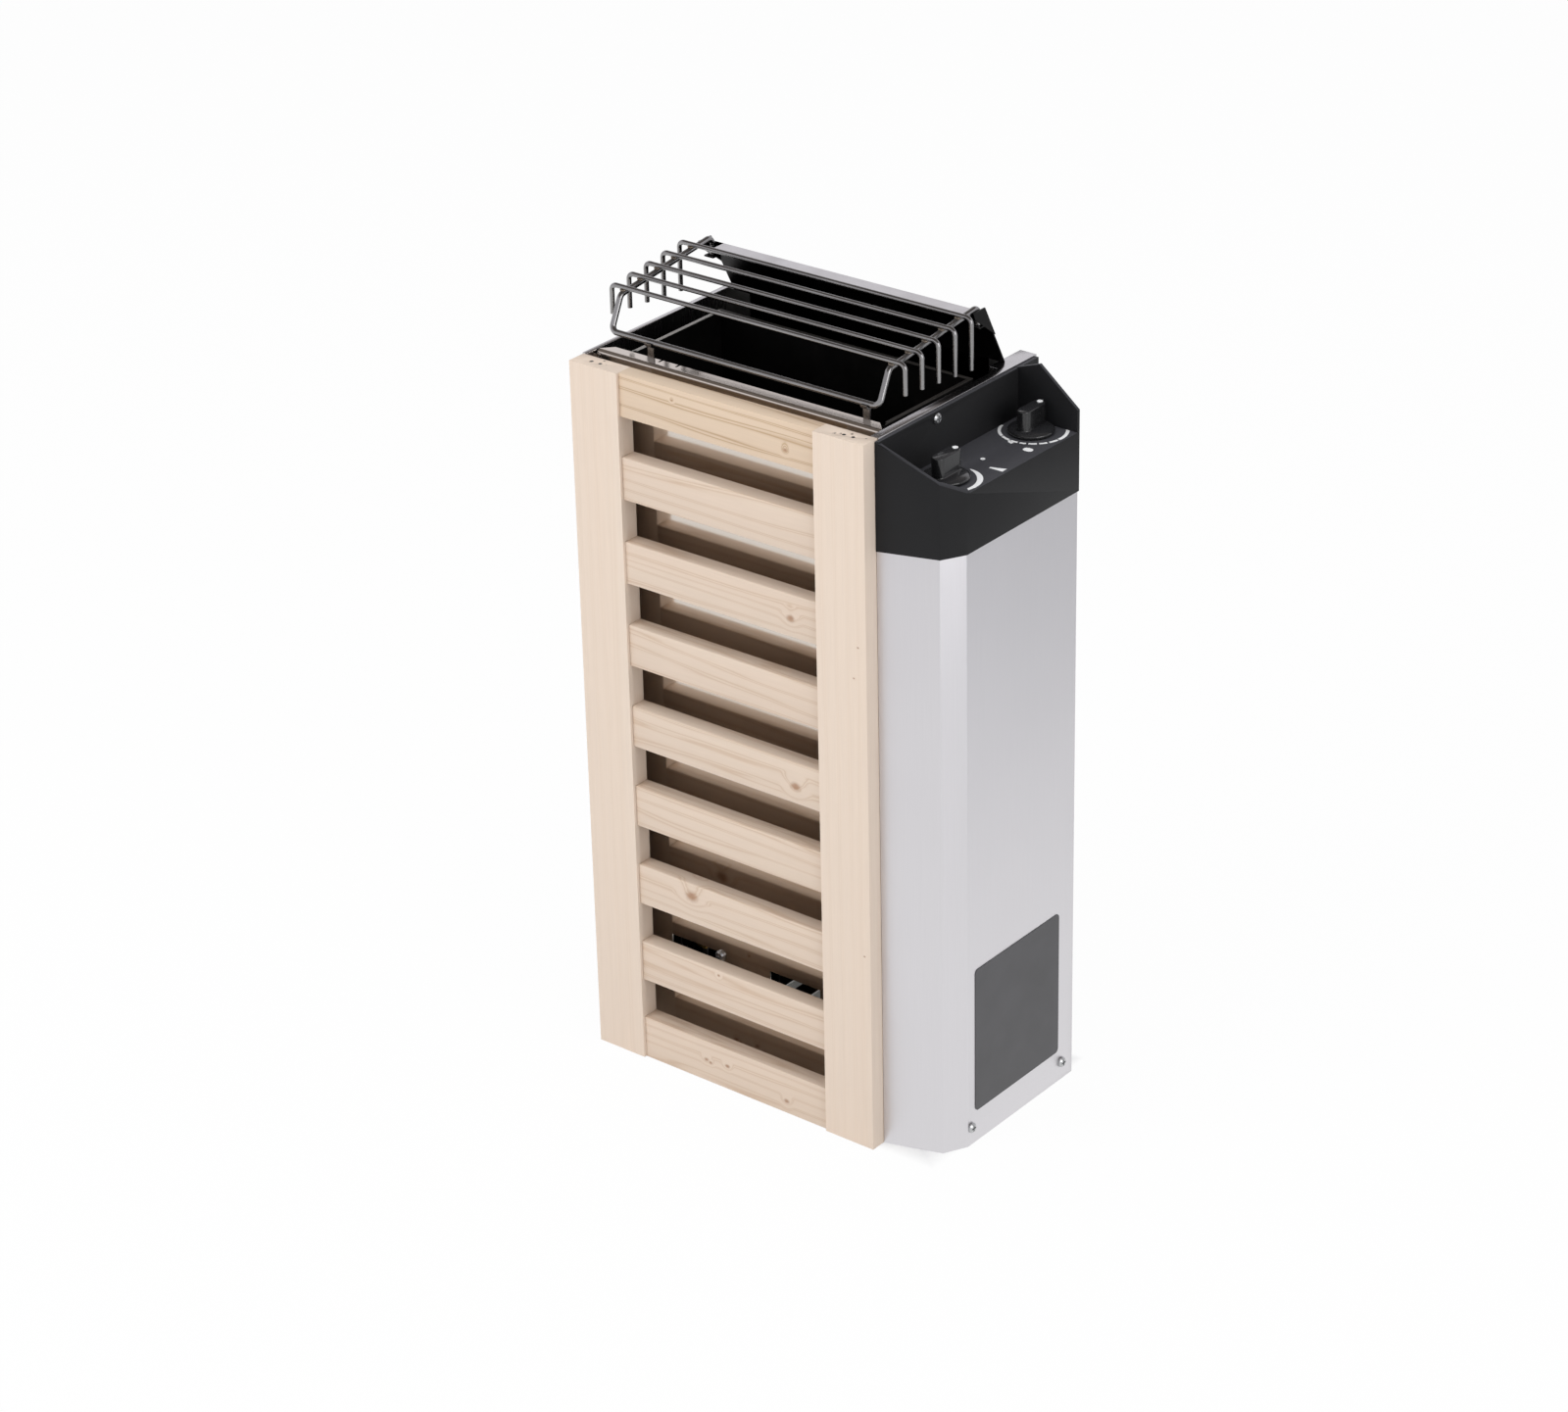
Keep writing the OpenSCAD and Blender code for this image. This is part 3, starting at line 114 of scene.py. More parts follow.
# The floor is a sheet of white paper that runs out of sight and keeps a faint contact shadow.
# What metal sees of it fades toward the back right. Its glow for the eye stops under the heater, so
# that no white slit shows through the lowest windows. Sizes are in metres.
floor_reach, floor_drop = 14, 0.0004
paper_glow = 0.965
fade_from, fade_to, mirrored_near, mirrored_far = 0.18, 1.6, 1.02, 0.2
under_from_x, under_to_x, under_from_y, under_to_y = 0.118, 0.138, 0.07, 0.086
bpy.ops.object.select_all(action="DESELECT")
bpy.ops.mesh.primitive_plane_add(size=floor_reach, location=(0, 0, -floor_drop))
floor = bpy.context.object
floor.name = "floor"
paper, tree = new_finish("white_background_paper")
path = add(tree, "LightPath")
matt = add(tree, "BsdfDiffuse", {"Color": tone("#f2f2f2")})
glow = add(tree, "Emission", {"Color": tone("#ffffff"), "Strength": 1.0})
mirrored = add(tree, "Math", {0: path.outputs["Is Glossy Ray"], 1: path.outputs["Is Transmission Ray"]},
               operation="MAXIMUM")
spot = add(tree, "TexCoord")
parts = add(tree, "SeparateXYZ", {"Vector": spot.outputs["Object"]})
rearward = add(tree, "Math", {0: parts.outputs["X"], 1: parts.outputs["Y"]}, operation="ADD")
fading = add(tree, "MapRange", {"Value": rearward.outputs[0], "From Min": fade_from, "From Max": fade_to,
                                "To Min": mirrored_near, "To Max": mirrored_far})
dimmed = add(tree, "Math", {0: mirrored.outputs[0], 1: fading.outputs[0]}, operation="MULTIPLY")
across = add(tree, "Math", {0: parts.outputs["X"]}, operation="ABSOLUTE")
deep = add(tree, "Math", {0: parts.outputs["Y"]}, operation="ABSOLUTE")
beside = add(tree, "MapRange", {"Value": across.outputs[0], "From Min": under_from_x, "From Max": under_to_x})
before = add(tree, "MapRange", {"Value": deep.outputs[0], "From Min": under_from_y, "From Max": under_to_y})
open_floor = add(tree, "Math", {0: beside.outputs[0], 1: before.outputs[0]}, operation="MAXIMUM")
lit = add(tree, "Math", {0: open_floor.outputs[0], 1: paper_glow}, operation="MULTIPLY")
eye = add(tree, "Math", {0: path.outputs["Is Camera Ray"], 1: lit.outputs[0]}, operation="MULTIPLY")
seen = add(tree, "Math", {0: eye.outputs[0], 1: dimmed.outputs[0]}, operation="MAXIMUM")
blend = add(tree, "MixShader", {0: seen.outputs[0], 1: matt.outputs[0], 2: glow.outputs[0]})
add(tree, "OutputMaterial", {"Surface": blend.outputs[0]})
floor.data.materials.append(paper)

# The surround is white to the eye. Metal sees a studio instead: pale grey walls, a white band above
# them and a dark ceiling, which gives polished sheet its bands.
fill_strength, studio_strength = 0.46, 0.95
studio_bands = [(0.0, "#c9c8c8"), (0.5, "#dcdbde"), (0.66, "#f4f3f8"), (0.75, "#f6f4f8"), (0.8, "#7f7874"),
                (1.0, "#6a6662")]
world = bpy.data.worlds.new("white_studio")
bpy.context.scene.world = world
world.use_nodes = True
tree = world.node_tree
tree.nodes.clear()
path = add(tree, "LightPath")
spot = add(tree, "TexCoord")
parts = add(tree, "SeparateXYZ", {"Vector": spot.outputs["Generated"]})
rise = add(tree, "MapRange", {"Value": parts.outputs["Z"], "From Min": -1.0, "From Max": 1.0})
sky = add(tree, "ValToRGB", {"Fac": rise.outputs[0]}, stops=studio_bands)
fill = add(tree, "Background", {"Color": tone("#eef0f4"), "Strength": fill_strength})
mirror = add(tree, "Background", {"Color": sky.outputs["Color"], "Strength": studio_strength})
white = add(tree, "Background", {"Color": tone("#ffffff"), "Strength": 1.0})
glossy = add(tree, "MixShader", {0: path.outputs["Is Glossy Ray"], 1: fill.outputs[0], 2: mirror.outputs[0]})
clear = add(tree, "Math", {0: path.outputs["Is Camera Ray"], 1: path.outputs["Is Transmission Ray"]},
            operation="MAXIMUM")
blend = add(tree, "MixShader", {0: clear.outputs[0], 1: glossy.outputs[0], 2: white.outputs[0]})
add(tree, "OutputWorld", {"Surface": blend.outputs[0]})

# Three soft boxes: a large key before the wooden front, one overhead and one for the steel side,
# which is the only one that metal mirrors. Each has its place, aim, width and height in metres, and
# its power in watts.
soft_boxes = {
    "key": ((-1.1, -2.5, 1.5), (0, 0, 0.28), 2.0, 2.0, 41),
    "overhead": ((0.1, -0.3, 2.7), (0, 0, 0.3), 2.2, 2.2, 25),
    "side": ((2.9, -0.5, 1.3), (0, 0, 0.25), 1.8, 2.0, 26),
}
for name, (place, aim, width, height, power) in soft_boxes.items():
    light = bpy.data.lights.new(name, "AREA")
    light.shape, light.size, light.size_y, light.energy = "RECTANGLE", width, height, power
    thing = bpy.data.objects.new(name, light)
    bpy.context.scene.collection.objects.link(thing)
    thing.visible_glossy = name == "side"
    thing.location = place
    thing.rotation_euler = (Vector(place) - Vector(aim)).to_track_quat("Z", "Y").to_euler()


# The wooden front: planed, unfinished pine boards, rails and slats let into two upright stiles.
# The arrises are eased with sandpaper, so every board shows a soft light edge.
mm = 0.001
left_x, front_y = heater_corner.x, heater_corner.y
body_top = 500
join_within, flat_angle, smooth_angle = 0.000004, math.radians(0.6), math.radians(35)


def spot_at(x, y, z):
    return Vector((left_x + x * mm, front_y + y * mm, z * mm))


def only(thing):
    bpy.ops.object.select_all(action="DESELECT")
    thing.select_set(True)
    bpy.context.view_layer.objects.active = thing


# Copies a CAD node's triangles, joins them and eases the edges sharper than the given angle.
def eased(node, name, ease, angle=30, rounds=2):
    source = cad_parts[node]
    piece = bpy.data.objects.new(name, source.data.copy())
    bpy.context.scene.collection.objects.link(piece)
    only(piece)
    bpy.ops.object.mode_set(mode="EDIT")
    bpy.ops.mesh.select_all(action="SELECT")
    bpy.ops.mesh.remove_doubles(threshold=join_within)
    bpy.ops.mesh.dissolve_limited(angle_limit=flat_angle)
    bpy.ops.mesh.normals_make_consistent(inside=False)
    bpy.ops.object.mode_set(mode="OBJECT")
    bevel = piece.modifiers.new("eased edges", "BEVEL")
    bevel.width, bevel.segments = ease * mm, rounds
    bevel.limit_method, bevel.angle_limit = "ANGLE", math.radians(angle)
    bevel.use_clamp_overlap = True
    bpy.ops.object.modifier_apply(modifier=bevel.name)
    bpy.ops.object.shade_smooth_by_angle(angle=smooth_angle)
    return piece


# Gives a piece its finish and body, and puts it in the place of its CAD node.
def stands_for(piece, node, body, finish):
    piece.data.materials.clear()
    piece.data.materials.append(finish)
    for face in piece.data.polygons:
        face.material_index = 0
    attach(piece, body)
    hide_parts(node)


# Planed pine: growth rings cut lengthwise give stretched bands about 8 mm apart, with knots where a
# branch was. The eye gets a pale warm board with straw and pinkish lines and a dry sheen. Fibres
# are drawn about 1 mm wide, coarser than real ones, so that they show.
# `along` is the grain's axis, `knots` are (x, z, radius) in mm on the front face, and `bruises` are
# (x, y, radius) in mm on the top end. Noise scales are in cells per metre.
drift_scale, ring_scale, fibre_scale, ragged_scale, torn_scale = 38.0, 38.0, 900.0, 260.0, 700.0
drift_push, knot_push, ring_tilt = 0.028, 0.0065, 0.35
knot_reach, knot_ragged, knot_heart, knot_rim, knot_depth = 3.2, 0.5, 0.35, 1.25, 0.74
bruise_ragged, bruise_heart, bruise_rim, bruise_depth = 1.6, 1.15, 1.6, 0.85


def planed_pine(name, along, seed, knots=(), pale="#dccbb9", straw="#c0a184", pink="#d9c4b2", lines=0.5,
                bruises=()):
    material, tree = new_finish(name)
    spot = add(tree, "TexCoord")
    lies = along == "x"
    stretch = (0.045, 1.0, 1.0) if lies else (1.0, 1.0, 0.03)
    laid = add(tree, "Mapping", {"Vector": spot.outputs["Object"],
                                 "Location": (seed * 0.37, seed * 0.11, seed * 0.23), "Scale": stretch})
    drift = add(tree, "TexNoise", {"Vector": laid.outputs[0], "Scale": drift_scale, "Detail": 3.0,
                                   "Roughness": 0.5})
    knot_mask = None
    for x, z, radius in knots:
        centre = spot_at(x, 1, z)
        away = add(tree, "VectorMath", {0: spot.outputs["Object"], 1: centre}, operation="SUBTRACT")
        flat = add(tree, "VectorMath", {0: away.outputs[0], 1: (1.0, 0.0, 1.0) if lies else (1.0, 0.0, 0.7)},
                   operation="MULTIPLY")
        reach = add(tree, "VectorMath", {0: flat.outputs[0]}, operation="LENGTH")
        near = add(tree, "MapRange", {"Value": reach.outputs["Value"], "From Min": 0.0,
                                      "From Max": radius * mm * knot_reach, "To Min": 1.0, "To Max": 0.0},
                   interpolation_type="SMOOTHSTEP")
        knot_mask = near.outputs[0] if knot_mask is None else add(
            tree, "Math", {0: knot_mask, 1: near.outputs[0]}, operation="MAXIMUM").outputs[0]
    push = add(tree, "Math", {0: drift.outputs["Fac"], 1: drift_push}, operation="MULTIPLY")
    if knot_mask is not None:
        bulge = add(tree, "Math", {0: knot_mask, 1: knot_push}, operation="MULTIPLY")
        push = add(tree, "Math", {0: push.outputs[0], 1: bulge.outputs[0]}, operation="ADD")
    bent = add(tree, "CombineXYZ", {"X": 0.0 if lies else push.outputs[0], "Y": push.outputs[0],
                                    "Z": push.outputs[0] if lies else 0.0})
    rings_at = add(tree, "VectorMath", {0: laid.outputs[0], 1: bent.outputs[0]}, operation="ADD")
    turned = add(tree, "Mapping", {"Vector": rings_at.outputs[0],
                                   "Rotation": (ring_tilt, 0.0, 0.0) if lies else (0.0, 0.0, ring_tilt)})
    rings = add(tree, "TexWave", {"Vector": turned.outputs[0], "Scale": ring_scale, "Distortion": 1.4,
                                  "Detail": 2.0, "Detail Scale": 2.0},
                wave_type="BANDS", bands_direction="Z" if lies else "X")
    thin = add(tree, "ValToRGB", {"Fac": rings.outputs["Fac"]},
               stops=[(0.0, "#000000"), (0.45, "#0c0c0c"), (0.8, "#7a7a7a"), (0.95, "#ffffff"),
                      (1.0, "#585858")])
    fibre = add(tree, "TexNoise", {"Vector": laid.outputs[0], "Scale": fibre_scale, "Detail": 2.0,
                                   "Roughness": 0.6})
    streak = add(tree, "Math", {0: thin.outputs["Color"], 1: lines}, operation="MULTIPLY")
    tint = add(tree, "Mix", {"Factor": drift.outputs["Fac"], "A": tone(pale), "B": tone(pink)},
               data_type="RGBA")
    lined = add(tree, "Mix", {"Factor": streak.outputs[0], "A": tint.outputs["Result"], "B": tone(straw)},
                data_type="RGBA")
    hair = add(tree, "MapRange", {"Value": fibre.outputs["Fac"], "To Min": 0.955, "To Max": 1.035})
    colour = add(tree, "VectorMath", {0: lined.outputs["Result"], "Scale": hair.outputs[0]},
                 operation="SCALE")
    colour = colour.outputs[0]
    for x, z, radius in knots:
        centre = spot_at(x, 1, z)
        away = add(tree, "VectorMath", {0: spot.outputs["Object"], 1: centre}, operation="SUBTRACT")
        shape = add(tree, "TexNoise", {"Vector": spot.outputs["Object"], "Scale": ragged_scale, "Detail": 2.0})
        flat = add(tree, "VectorMath", {0: away.outputs[0], 1: (0.75, 0.0, 1.0)}, operation="MULTIPLY")
        reach = add(tree, "VectorMath", {0: flat.outputs[0]}, operation="LENGTH")
        ragged = add(tree, "Math", {0: shape.outputs["Fac"], 1: radius * mm * knot_ragged, 2: reach.outputs["Value"]},
                     operation="MULTIPLY_ADD")
        core = add(tree, "MapRange", {"Value": ragged.outputs[0], "From Min": radius * mm * knot_heart,
                                      "From Max": radius * mm * knot_rim, "To Min": knot_depth,
                                      "To Max": 0.0},
                   interpolation_type="SMOOTHSTEP")
        knotted = add(tree, "Mix", {"Factor": core.outputs[0], "A": colour, "B": tone("#94643f")},
                      data_type="RGBA")
        colour = knotted.outputs["Result"]
    for x, y, radius in bruises:
        centre = spot_at(x, y, body_top)
        away = add(tree, "VectorMath", {0: spot.outputs["Object"], 1: centre}, operation="DISTANCE")
        torn = add(tree, "TexNoise", {"Vector": spot.outputs["Object"], "Scale": torn_scale, "Detail": 2.0})
        ragged = add(tree, "Math", {0: torn.outputs["Fac"], 1: radius * mm * bruise_ragged,
                                    2: away.outputs["Value"]}, operation="MULTIPLY_ADD")
        dent = add(tree, "MapRange", {"Value": ragged.outputs[0], "From Min": radius * mm * bruise_heart,
                                      "From Max": radius * mm * bruise_rim, "To Min": bruise_depth,
                                      "To Max": 0.0})
        marked = add(tree, "Mix", {"Factor": dent.outputs[0], "A": colour, "B": tone("#4b3b33")},
                     data_type="RGBA")
        colour = marked.outputs["Result"]
    rougher = add(tree, "MapRange", {"Value": thin.outputs["Color"], "To Min": 0.62, "To Max": 0.48})
    grainy = add(tree, "Math", {0: fibre.outputs["Fac"], 1: thin.outputs["Color"]}, operation="ADD")
    bump = add(tree, "Bump", {"Height": grainy.outputs[0], "Strength": 0.12, "Distance": 0.0003})
    shader = add(tree, "BsdfPrincipled", {"Base Color": colour, "Roughness": rougher.outputs[0],
                                          "Normal": bump.outputs[0], "IOR": 1.5})
    add(tree, "OutputMaterial", {"Surface": shader.outputs[0]})
    return material


# Marks on the stiles: bruises round the nails in mm on the top ends, small dark flecks on the front.
nail_bruises = {
    "stile_left": [(14.5, 6.4, 1.7), (21.0, 12.0, 1.3), (26.0, 8.0, 0.8)],
    "stile_right": [(209.5, 5.4, 1.6), (213.0, 7.2, 1.2), (219.2, 10.4, 1.4), (230.5, 9.8, 1.1)],
}
edge_marks = {
    "stile_left": [],
    "stile_right": [(229.4, 363, 1.0), (225.8, 341, 1.0), (231.0, 144, 1.0)],
}
for node, seed in (("stile_left", 1), ("stile_right", 4)):
    board = eased(node, node + "_board", 0.7)
    stands_for(board, node, "heater",
               planed_pine("planed_pine_" + node, "z", seed, edge_marks[node], lines=0.16, pale="#e2d2c2",
                           pink="#e1cdbb", straw="#d3b99e", bruises=nail_bruises[node]))
# The rails and slats: each board's seed and its knots. The top rail is a warmer, more lined board.
cross_boards = {
    "top_rail": (2, [(173.7, 481, 2.0), (84, 492, 1.0)]),
    "slat_7": (3, []),
    "slat_6": (5, [(175, 367, 3.6)]),
    "slat_5": (7, []),
    "slat_4": (9, [(176, 249, 4.6)]),
    "slat_3": (11, []),
    "slat_2": (13, [(86, 139, 5.6)]),
    "slat_1": (15, [(107, 86, 1.2)]),
    "bottom_rail": (17, [(94, 16.4, 2.2), (97.5, 15.2, 1.6), (112, 17.7, 2.1), (162.5, 9, 2.5)]),
}
for node, (seed, knots) in cross_boards.items():
    board = eased(node, node + "_board", 0.6)
    warm = {"pale": "#d6c4ae", "straw": "#b59673", "pink": "#dcc2a8"} if node == "top_rail" else {}
    stands_for(board, node, "heater",
               planed_pine("planed_pine_" + node, "x", seed, knots, lines=0.9 if warm else 0.55, **warm))


# The nails: blued steel brads driven from the ends of the stiles, with a bruise in the end grain
# around each. They are short wires with a punched head, as the CAD has them.
def worn_metal(name, code, dull, rough, grit, spread=0.1, bump_mm=0.02):
    material, tree = new_finish(name)
    spot = add(tree, "TexCoord")
    fine = add(tree, "TexNoise", {"Vector": spot.outputs["Object"], "Scale": grit, "Detail": 3.0,
                                  "Roughness": 0.6})
    cloud = add(tree, "TexNoise", {"Vector": spot.outputs["Object"], "Scale": 22.0, "Detail": 2.0})
    patch = add(tree, "MapRange", {"Value": cloud.outputs["Fac"], "From Min": 0.35, "From Max": 0.75})
    colour = add(tree, "Mix", {"Factor": patch.outputs[0], "A": tone(code), "B": tone(dull)},
                 data_type="RGBA")
    shade = add(tree, "MapRange", {"Value": fine.outputs["Fac"], "To Min": 0.85, "To Max": 1.0})
    tinted = add(tree, "VectorMath", {0: colour.outputs["Result"], "Scale": shade.outputs[0]},
                 operation="SCALE")
    rougher = add(tree, "MapRange", {"Value": fine.outputs["Fac"], "From Min": 0.3, "From Max": 0.7,
                                     "To Min": rough - spread / 2, "To Max": rough + spread / 2})
    bump = add(tree, "Bump", {"Height": fine.outputs["Fac"], "Strength": 0.2, "Distance": bump_mm * mm})
    shader = add(tree, "BsdfPrincipled", {"Base Color": tinted.outputs[0], "Metallic": 1.0,
                                          "Roughness": rougher.outputs[0], "Normal": bump.outputs[0]})
    add(tree, "OutputMaterial", {"Surface": shader.outputs[0]})
    return material


# Puts one finish all over the named CAD nodes.
def dress(names, finish):
    for name in names:
        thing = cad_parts[name]
        thing.data.materials.clear()
        thing.data.materials.append(finish)
        for face in thing.data.polygons:
            face.material_index = 0


# Blued steel: a thin black oxide over drawn wire, so it reads nearly black with a dull gleam.
dress(["brads"], worn_metal("blued_steel_brads", "#3c3a3a", "#55504c", 0.42, 2500.0))
# Zinc-plated steel: cold-headed and tumbled, a pale grey with a soft broken shine.
zinc = worn_metal("zinc_plated_screws", "#c9cacb", "#b3b4b4", 0.3, 1800.0)
dress(["wood_standoffs", "front_sheet_screws"], zinc)


# The steel case: stainless sheet 1 mm thick, cut and folded on a press brake. The front sheet is
# left mirror bright behind the slats, the side panels have a fine mill finish.
def polished_sheet(name, code, rough, scratch=0.06):
    material, tree = new_finish(name)
    spot = add(tree, "TexCoord")
    drawn = add(tree, "Mapping", {"Vector": spot.outputs["Object"], "Scale": (1.0, 1.0, 0.02)})
    lines = add(tree, "TexNoise", {"Vector": drawn.outputs[0], "Scale": 900.0, "Detail": 2.0})
    smear = add(tree, "TexNoise", {"Vector": spot.outputs["Object"], "Scale": 14.0, "Detail": 3.0})
    sheen = add(tree, "Math", {0: lines.outputs["Fac"], 1: smear.outputs["Fac"]}, operation="MULTIPLY")
    rougher = add(tree, "MapRange", {"Value": sheen.outputs[0], "From Min": 0.1, "From Max": 0.45,
                                     "To Min": rough, "To Max": rough + scratch})
    shader = add(tree, "BsdfPrincipled", {"Base Color": tone(code), "Metallic": 1.0,
                                          "Roughness": rougher.outputs[0]})
    add(tree, "OutputMaterial", {"Surface": shader.outputs[0]})
    return material


# Bright annealed stainless: rolled between polished rolls, so it mirrors the back of the slats. It is
# a little warmer than plain stainless, as the windows look in the photograph.
bright_sheet = polished_sheet("bright_annealed_stainless", "#d2c9c0", 0.08)
dress(["front_sheet"], bright_sheet)
# Mill finish stainless: a satin roll finish, so its highlights are soft.
mill_sheet = polished_sheet("mill_finish_stainless", "#cfcdce", 0.2, 0.1)
for node in ("left_side_panel", "right_side_panel"):
    stands_for(eased(node, node + "_folded", 0.2, 40), node, "heater", mill_sheet)


# The stone chamber: an open box of aluminised steel, hung inside the case. Its walls and the tray
# are painted near black, as painted shade deep in the box; only the left wall's folded top hem is
# light. `hem_z` is in mm.
def painted_shade_steel(name, hem_z, hem="#b9b5b1"):
    bare, rough = "#161413", 0.55
    material, tree = new_finish(name)
    spot = add(tree, "TexCoord")
    parts = add(tree, "SeparateXYZ", {"Vector": spot.outputs["Object"]})
    shade_noise = add(tree, "TexNoise", {"Vector": spot.outputs["Object"], "Scale": 46.0, "Detail": 4.0,
                                  "Roughness": 0.65})
    # Painted shade: a near-black mottle stands for the shade deep inside the box.
    shade_tones = add(tree, "ValToRGB", {"Fac": shade_noise.outputs["Fac"]},
                 stops=[(0.3, "#0d0c0b"), (0.62, bare), (0.8, "#2a2622")])
    light = add(tree, "MapRange", {"Value": parts.outputs["Z"], "From Min": (hem_z - 0.35) * mm,
                                   "From Max": (hem_z - 0.1) * mm})
    colour = add(tree, "Mix", {"Factor": light.outputs[0], "A": shade_tones.outputs["Color"], "B": tone(hem)},
                 data_type="RGBA")
    rougher = add(tree, "MapRange", {"Value": shade_noise.outputs["Fac"], "To Min": rough - 0.1,
                                     "To Max": rough + 0.2})
    bump = add(tree, "Bump", {"Height": shade_noise.outputs["Fac"], "Strength": 0.25, "Distance": 0.0004})
    shader = add(tree, "BsdfPrincipled", {"Base Color": colour.outputs["Result"], "Metallic": 0.75,
                                          "Roughness": rougher.outputs[0], "Normal": bump.outputs[0]})
    add(tree, "OutputMaterial", {"Surface": shader.outputs[0]})
    return material


for node in ("chamber_left_wall", "chamber_back_wall", "chamber_right_wall"):
    # The back and right walls get a dark hem as painted shade; the left wall's light hem is the steel's own tone.
    hem = "#c4c1bd" if node == "chamber_left_wall" else "#4a4744"
    stands_for(eased(node, node + "_hemmed", 0.3, 40), node, "heater",
               painted_shade_steel("heat_darkened_aluminised_steel_" + node, body_top, hem=hem))
# A hem height past the top leaves these without a light hem.
inner_steel = painted_shade_steel("aluminised_steel_painted_shade", 2 * body_top)
stands_for(eased("chamber_front_wall", "chamber_front_wall_folded", 0.3, 40), "chamber_front_wall", "heater",
           inner_steel)
dress(["stone_grate"], inner_steel)
# Galvanised steel: dipped sheet, so the zinc crystals show as a grey spangle 3 to 8 mm across.
galvanised, tree = new_finish("galvanised_steel_sheet")
spot = add(tree, "TexCoord")
spangle = add(tree, "TexVoronoi", {"Vector": spot.outputs["Object"], "Scale": 190.0, "Randomness": 1.0})
tones = add(tree, "ValToRGB", {"Fac": spangle.outputs["Color"]},
            stops=[(0.0, "#8d9091"), (0.5, "#a4a7a8"), (1.0, "#bbbebf")])
gloss = add(tree, "MapRange", {"Value": spangle.outputs["Distance"], "To Min": 0.32, "To Max": 0.5})
bump = add(tree, "Bump", {"Height": spangle.outputs["Distance"], "Strength": 0.1, "Distance": 0.0002})
shader = add(tree, "BsdfPrincipled", {"Base Color": tones.outputs["Color"], "Metallic": 0.9,
                                      "Roughness": gloss.outputs[0], "Normal": bump.outputs[0]})
add(tree, "OutputMaterial", {"Surface": shader.outputs[0]})
dress(["wall_spacers", "element_brackets", "housing_base"], galvanised)
# Aluminised steel: a dull grey coat with a soft, even sheen.
dress(["back_sheet", "base_plate"],
      worn_metal("aluminised_steel_sheet", "#8c8b88", "#84827e", 0.42, 700.0, 0.14))


# The heating elements: three bent tubes of heat-proof alloy, rolled and annealed, oxidised to a
# dark brown-grey, with brass studs and a bus bar at their cold ends.
dress(["heating_element_1", "heating_element_2", "heating_element_3"],
      worn_metal("oxidised_heating_tube_alloy", "#2b2826", "#3a322c", 0.5, 600.0, 0.16, 0.05))
dress(["bus_bar"], worn_metal("rolled_brass_bar", "#c8a053", "#b08a45", 0.28, 900.0, 0.12))


# The rear deflector: stainless sheet that leans over the stones, folded to a level lip with a
# rising end on each side. The lip and the rear are bright. The leaning face is simply coloured near
# black with a faint mottle. The leaning face is given a dark finish: the photograph doesn't tell a
# dark coat from bright sheet that mirrors the chamber.
# The lip is bright from the low to the high z, and between its ends, in mm from the left side.
def deflector_sheet(name, lip_low, lip_high):
    lip_left, lip_right, lip_fade = 17.0, 218.4, 0.6
    material, tree = new_finish(name)
    spot = add(tree, "TexCoord")
    parts = add(tree, "SeparateXYZ", {"Vector": spot.outputs["Object"]})
    dark_mottle = add(tree, "TexNoise", {"Vector": spot.outputs["Object"], "Scale": 60.0, "Detail": 4.0})
    dark_face_tones = add(tree, "ValToRGB", {"Fac": dark_mottle.outputs["Fac"]},
                stops=[(0.35, "#0f0e0e"), (0.7, "#1d1b1b"), (1.0, "#3c3a3a")])
    light = add(tree, "MapRange", {"Value": parts.outputs["Z"], "From Min": lip_low * mm,
                                   "From Max": lip_high * mm})
    facing = add(tree, "NewGeometry")
    turned = add(tree, "SeparateXYZ", {"Vector": facing.outputs["True Normal"]})
    outside = add(tree, "MapRange", {"Value": turned.outputs["Y"], "From Min": 0.5, "From Max": 0.6})
    inset_left = add(tree, "MapRange", {"Value": parts.outputs["X"], "From Min": left_x + lip_left * mm,
                                        "From Max": left_x + (lip_left + lip_fade) * mm})
    inset_right = add(tree, "MapRange", {"Value": parts.outputs["X"], "From Min": left_x + lip_right * mm,
                                         "From Max": left_x + (lip_right + lip_fade) * mm,
                                         "To Min": 1.0, "To Max": 0.0})
    across = add(tree, "Math", {0: inset_left.outputs[0], 1: inset_right.outputs[0]}, operation="MULTIPLY")
    lip = add(tree, "Math", {0: light.outputs[0], 1: across.outputs[0]}, operation="MULTIPLY")
    bright_parts = add(tree, "Math", {0: lip.outputs[0], 1: outside.outputs[0]}, operation="MAXIMUM")
    # The leaning face is coloured near black with a faint mottle; the lip and the rear keep the light steel tone.
    colour = add(tree, "Mix", {"Factor": bright_parts.outputs[0], "A": dark_face_tones.outputs["Color"], "B": tone("#dcdadb")},
                 data_type="RGBA")
    rougher = add(tree, "MapRange", {"Value": dark_mottle.outputs["Fac"], "To Min": 0.22, "To Max": 0.42})
    shader = add(tree, "BsdfPrincipled", {"Base Color": colour.outputs["Result"], "Metallic": 1.0,
                                          "Roughness": rougher.outputs[0]})
    add(tree, "OutputMaterial", {"Surface": shader.outputs[0]})
    return material


dress(["deflector"], deflector_sheet("dark_faced_stainless_sheet", 538.2, 538.7))


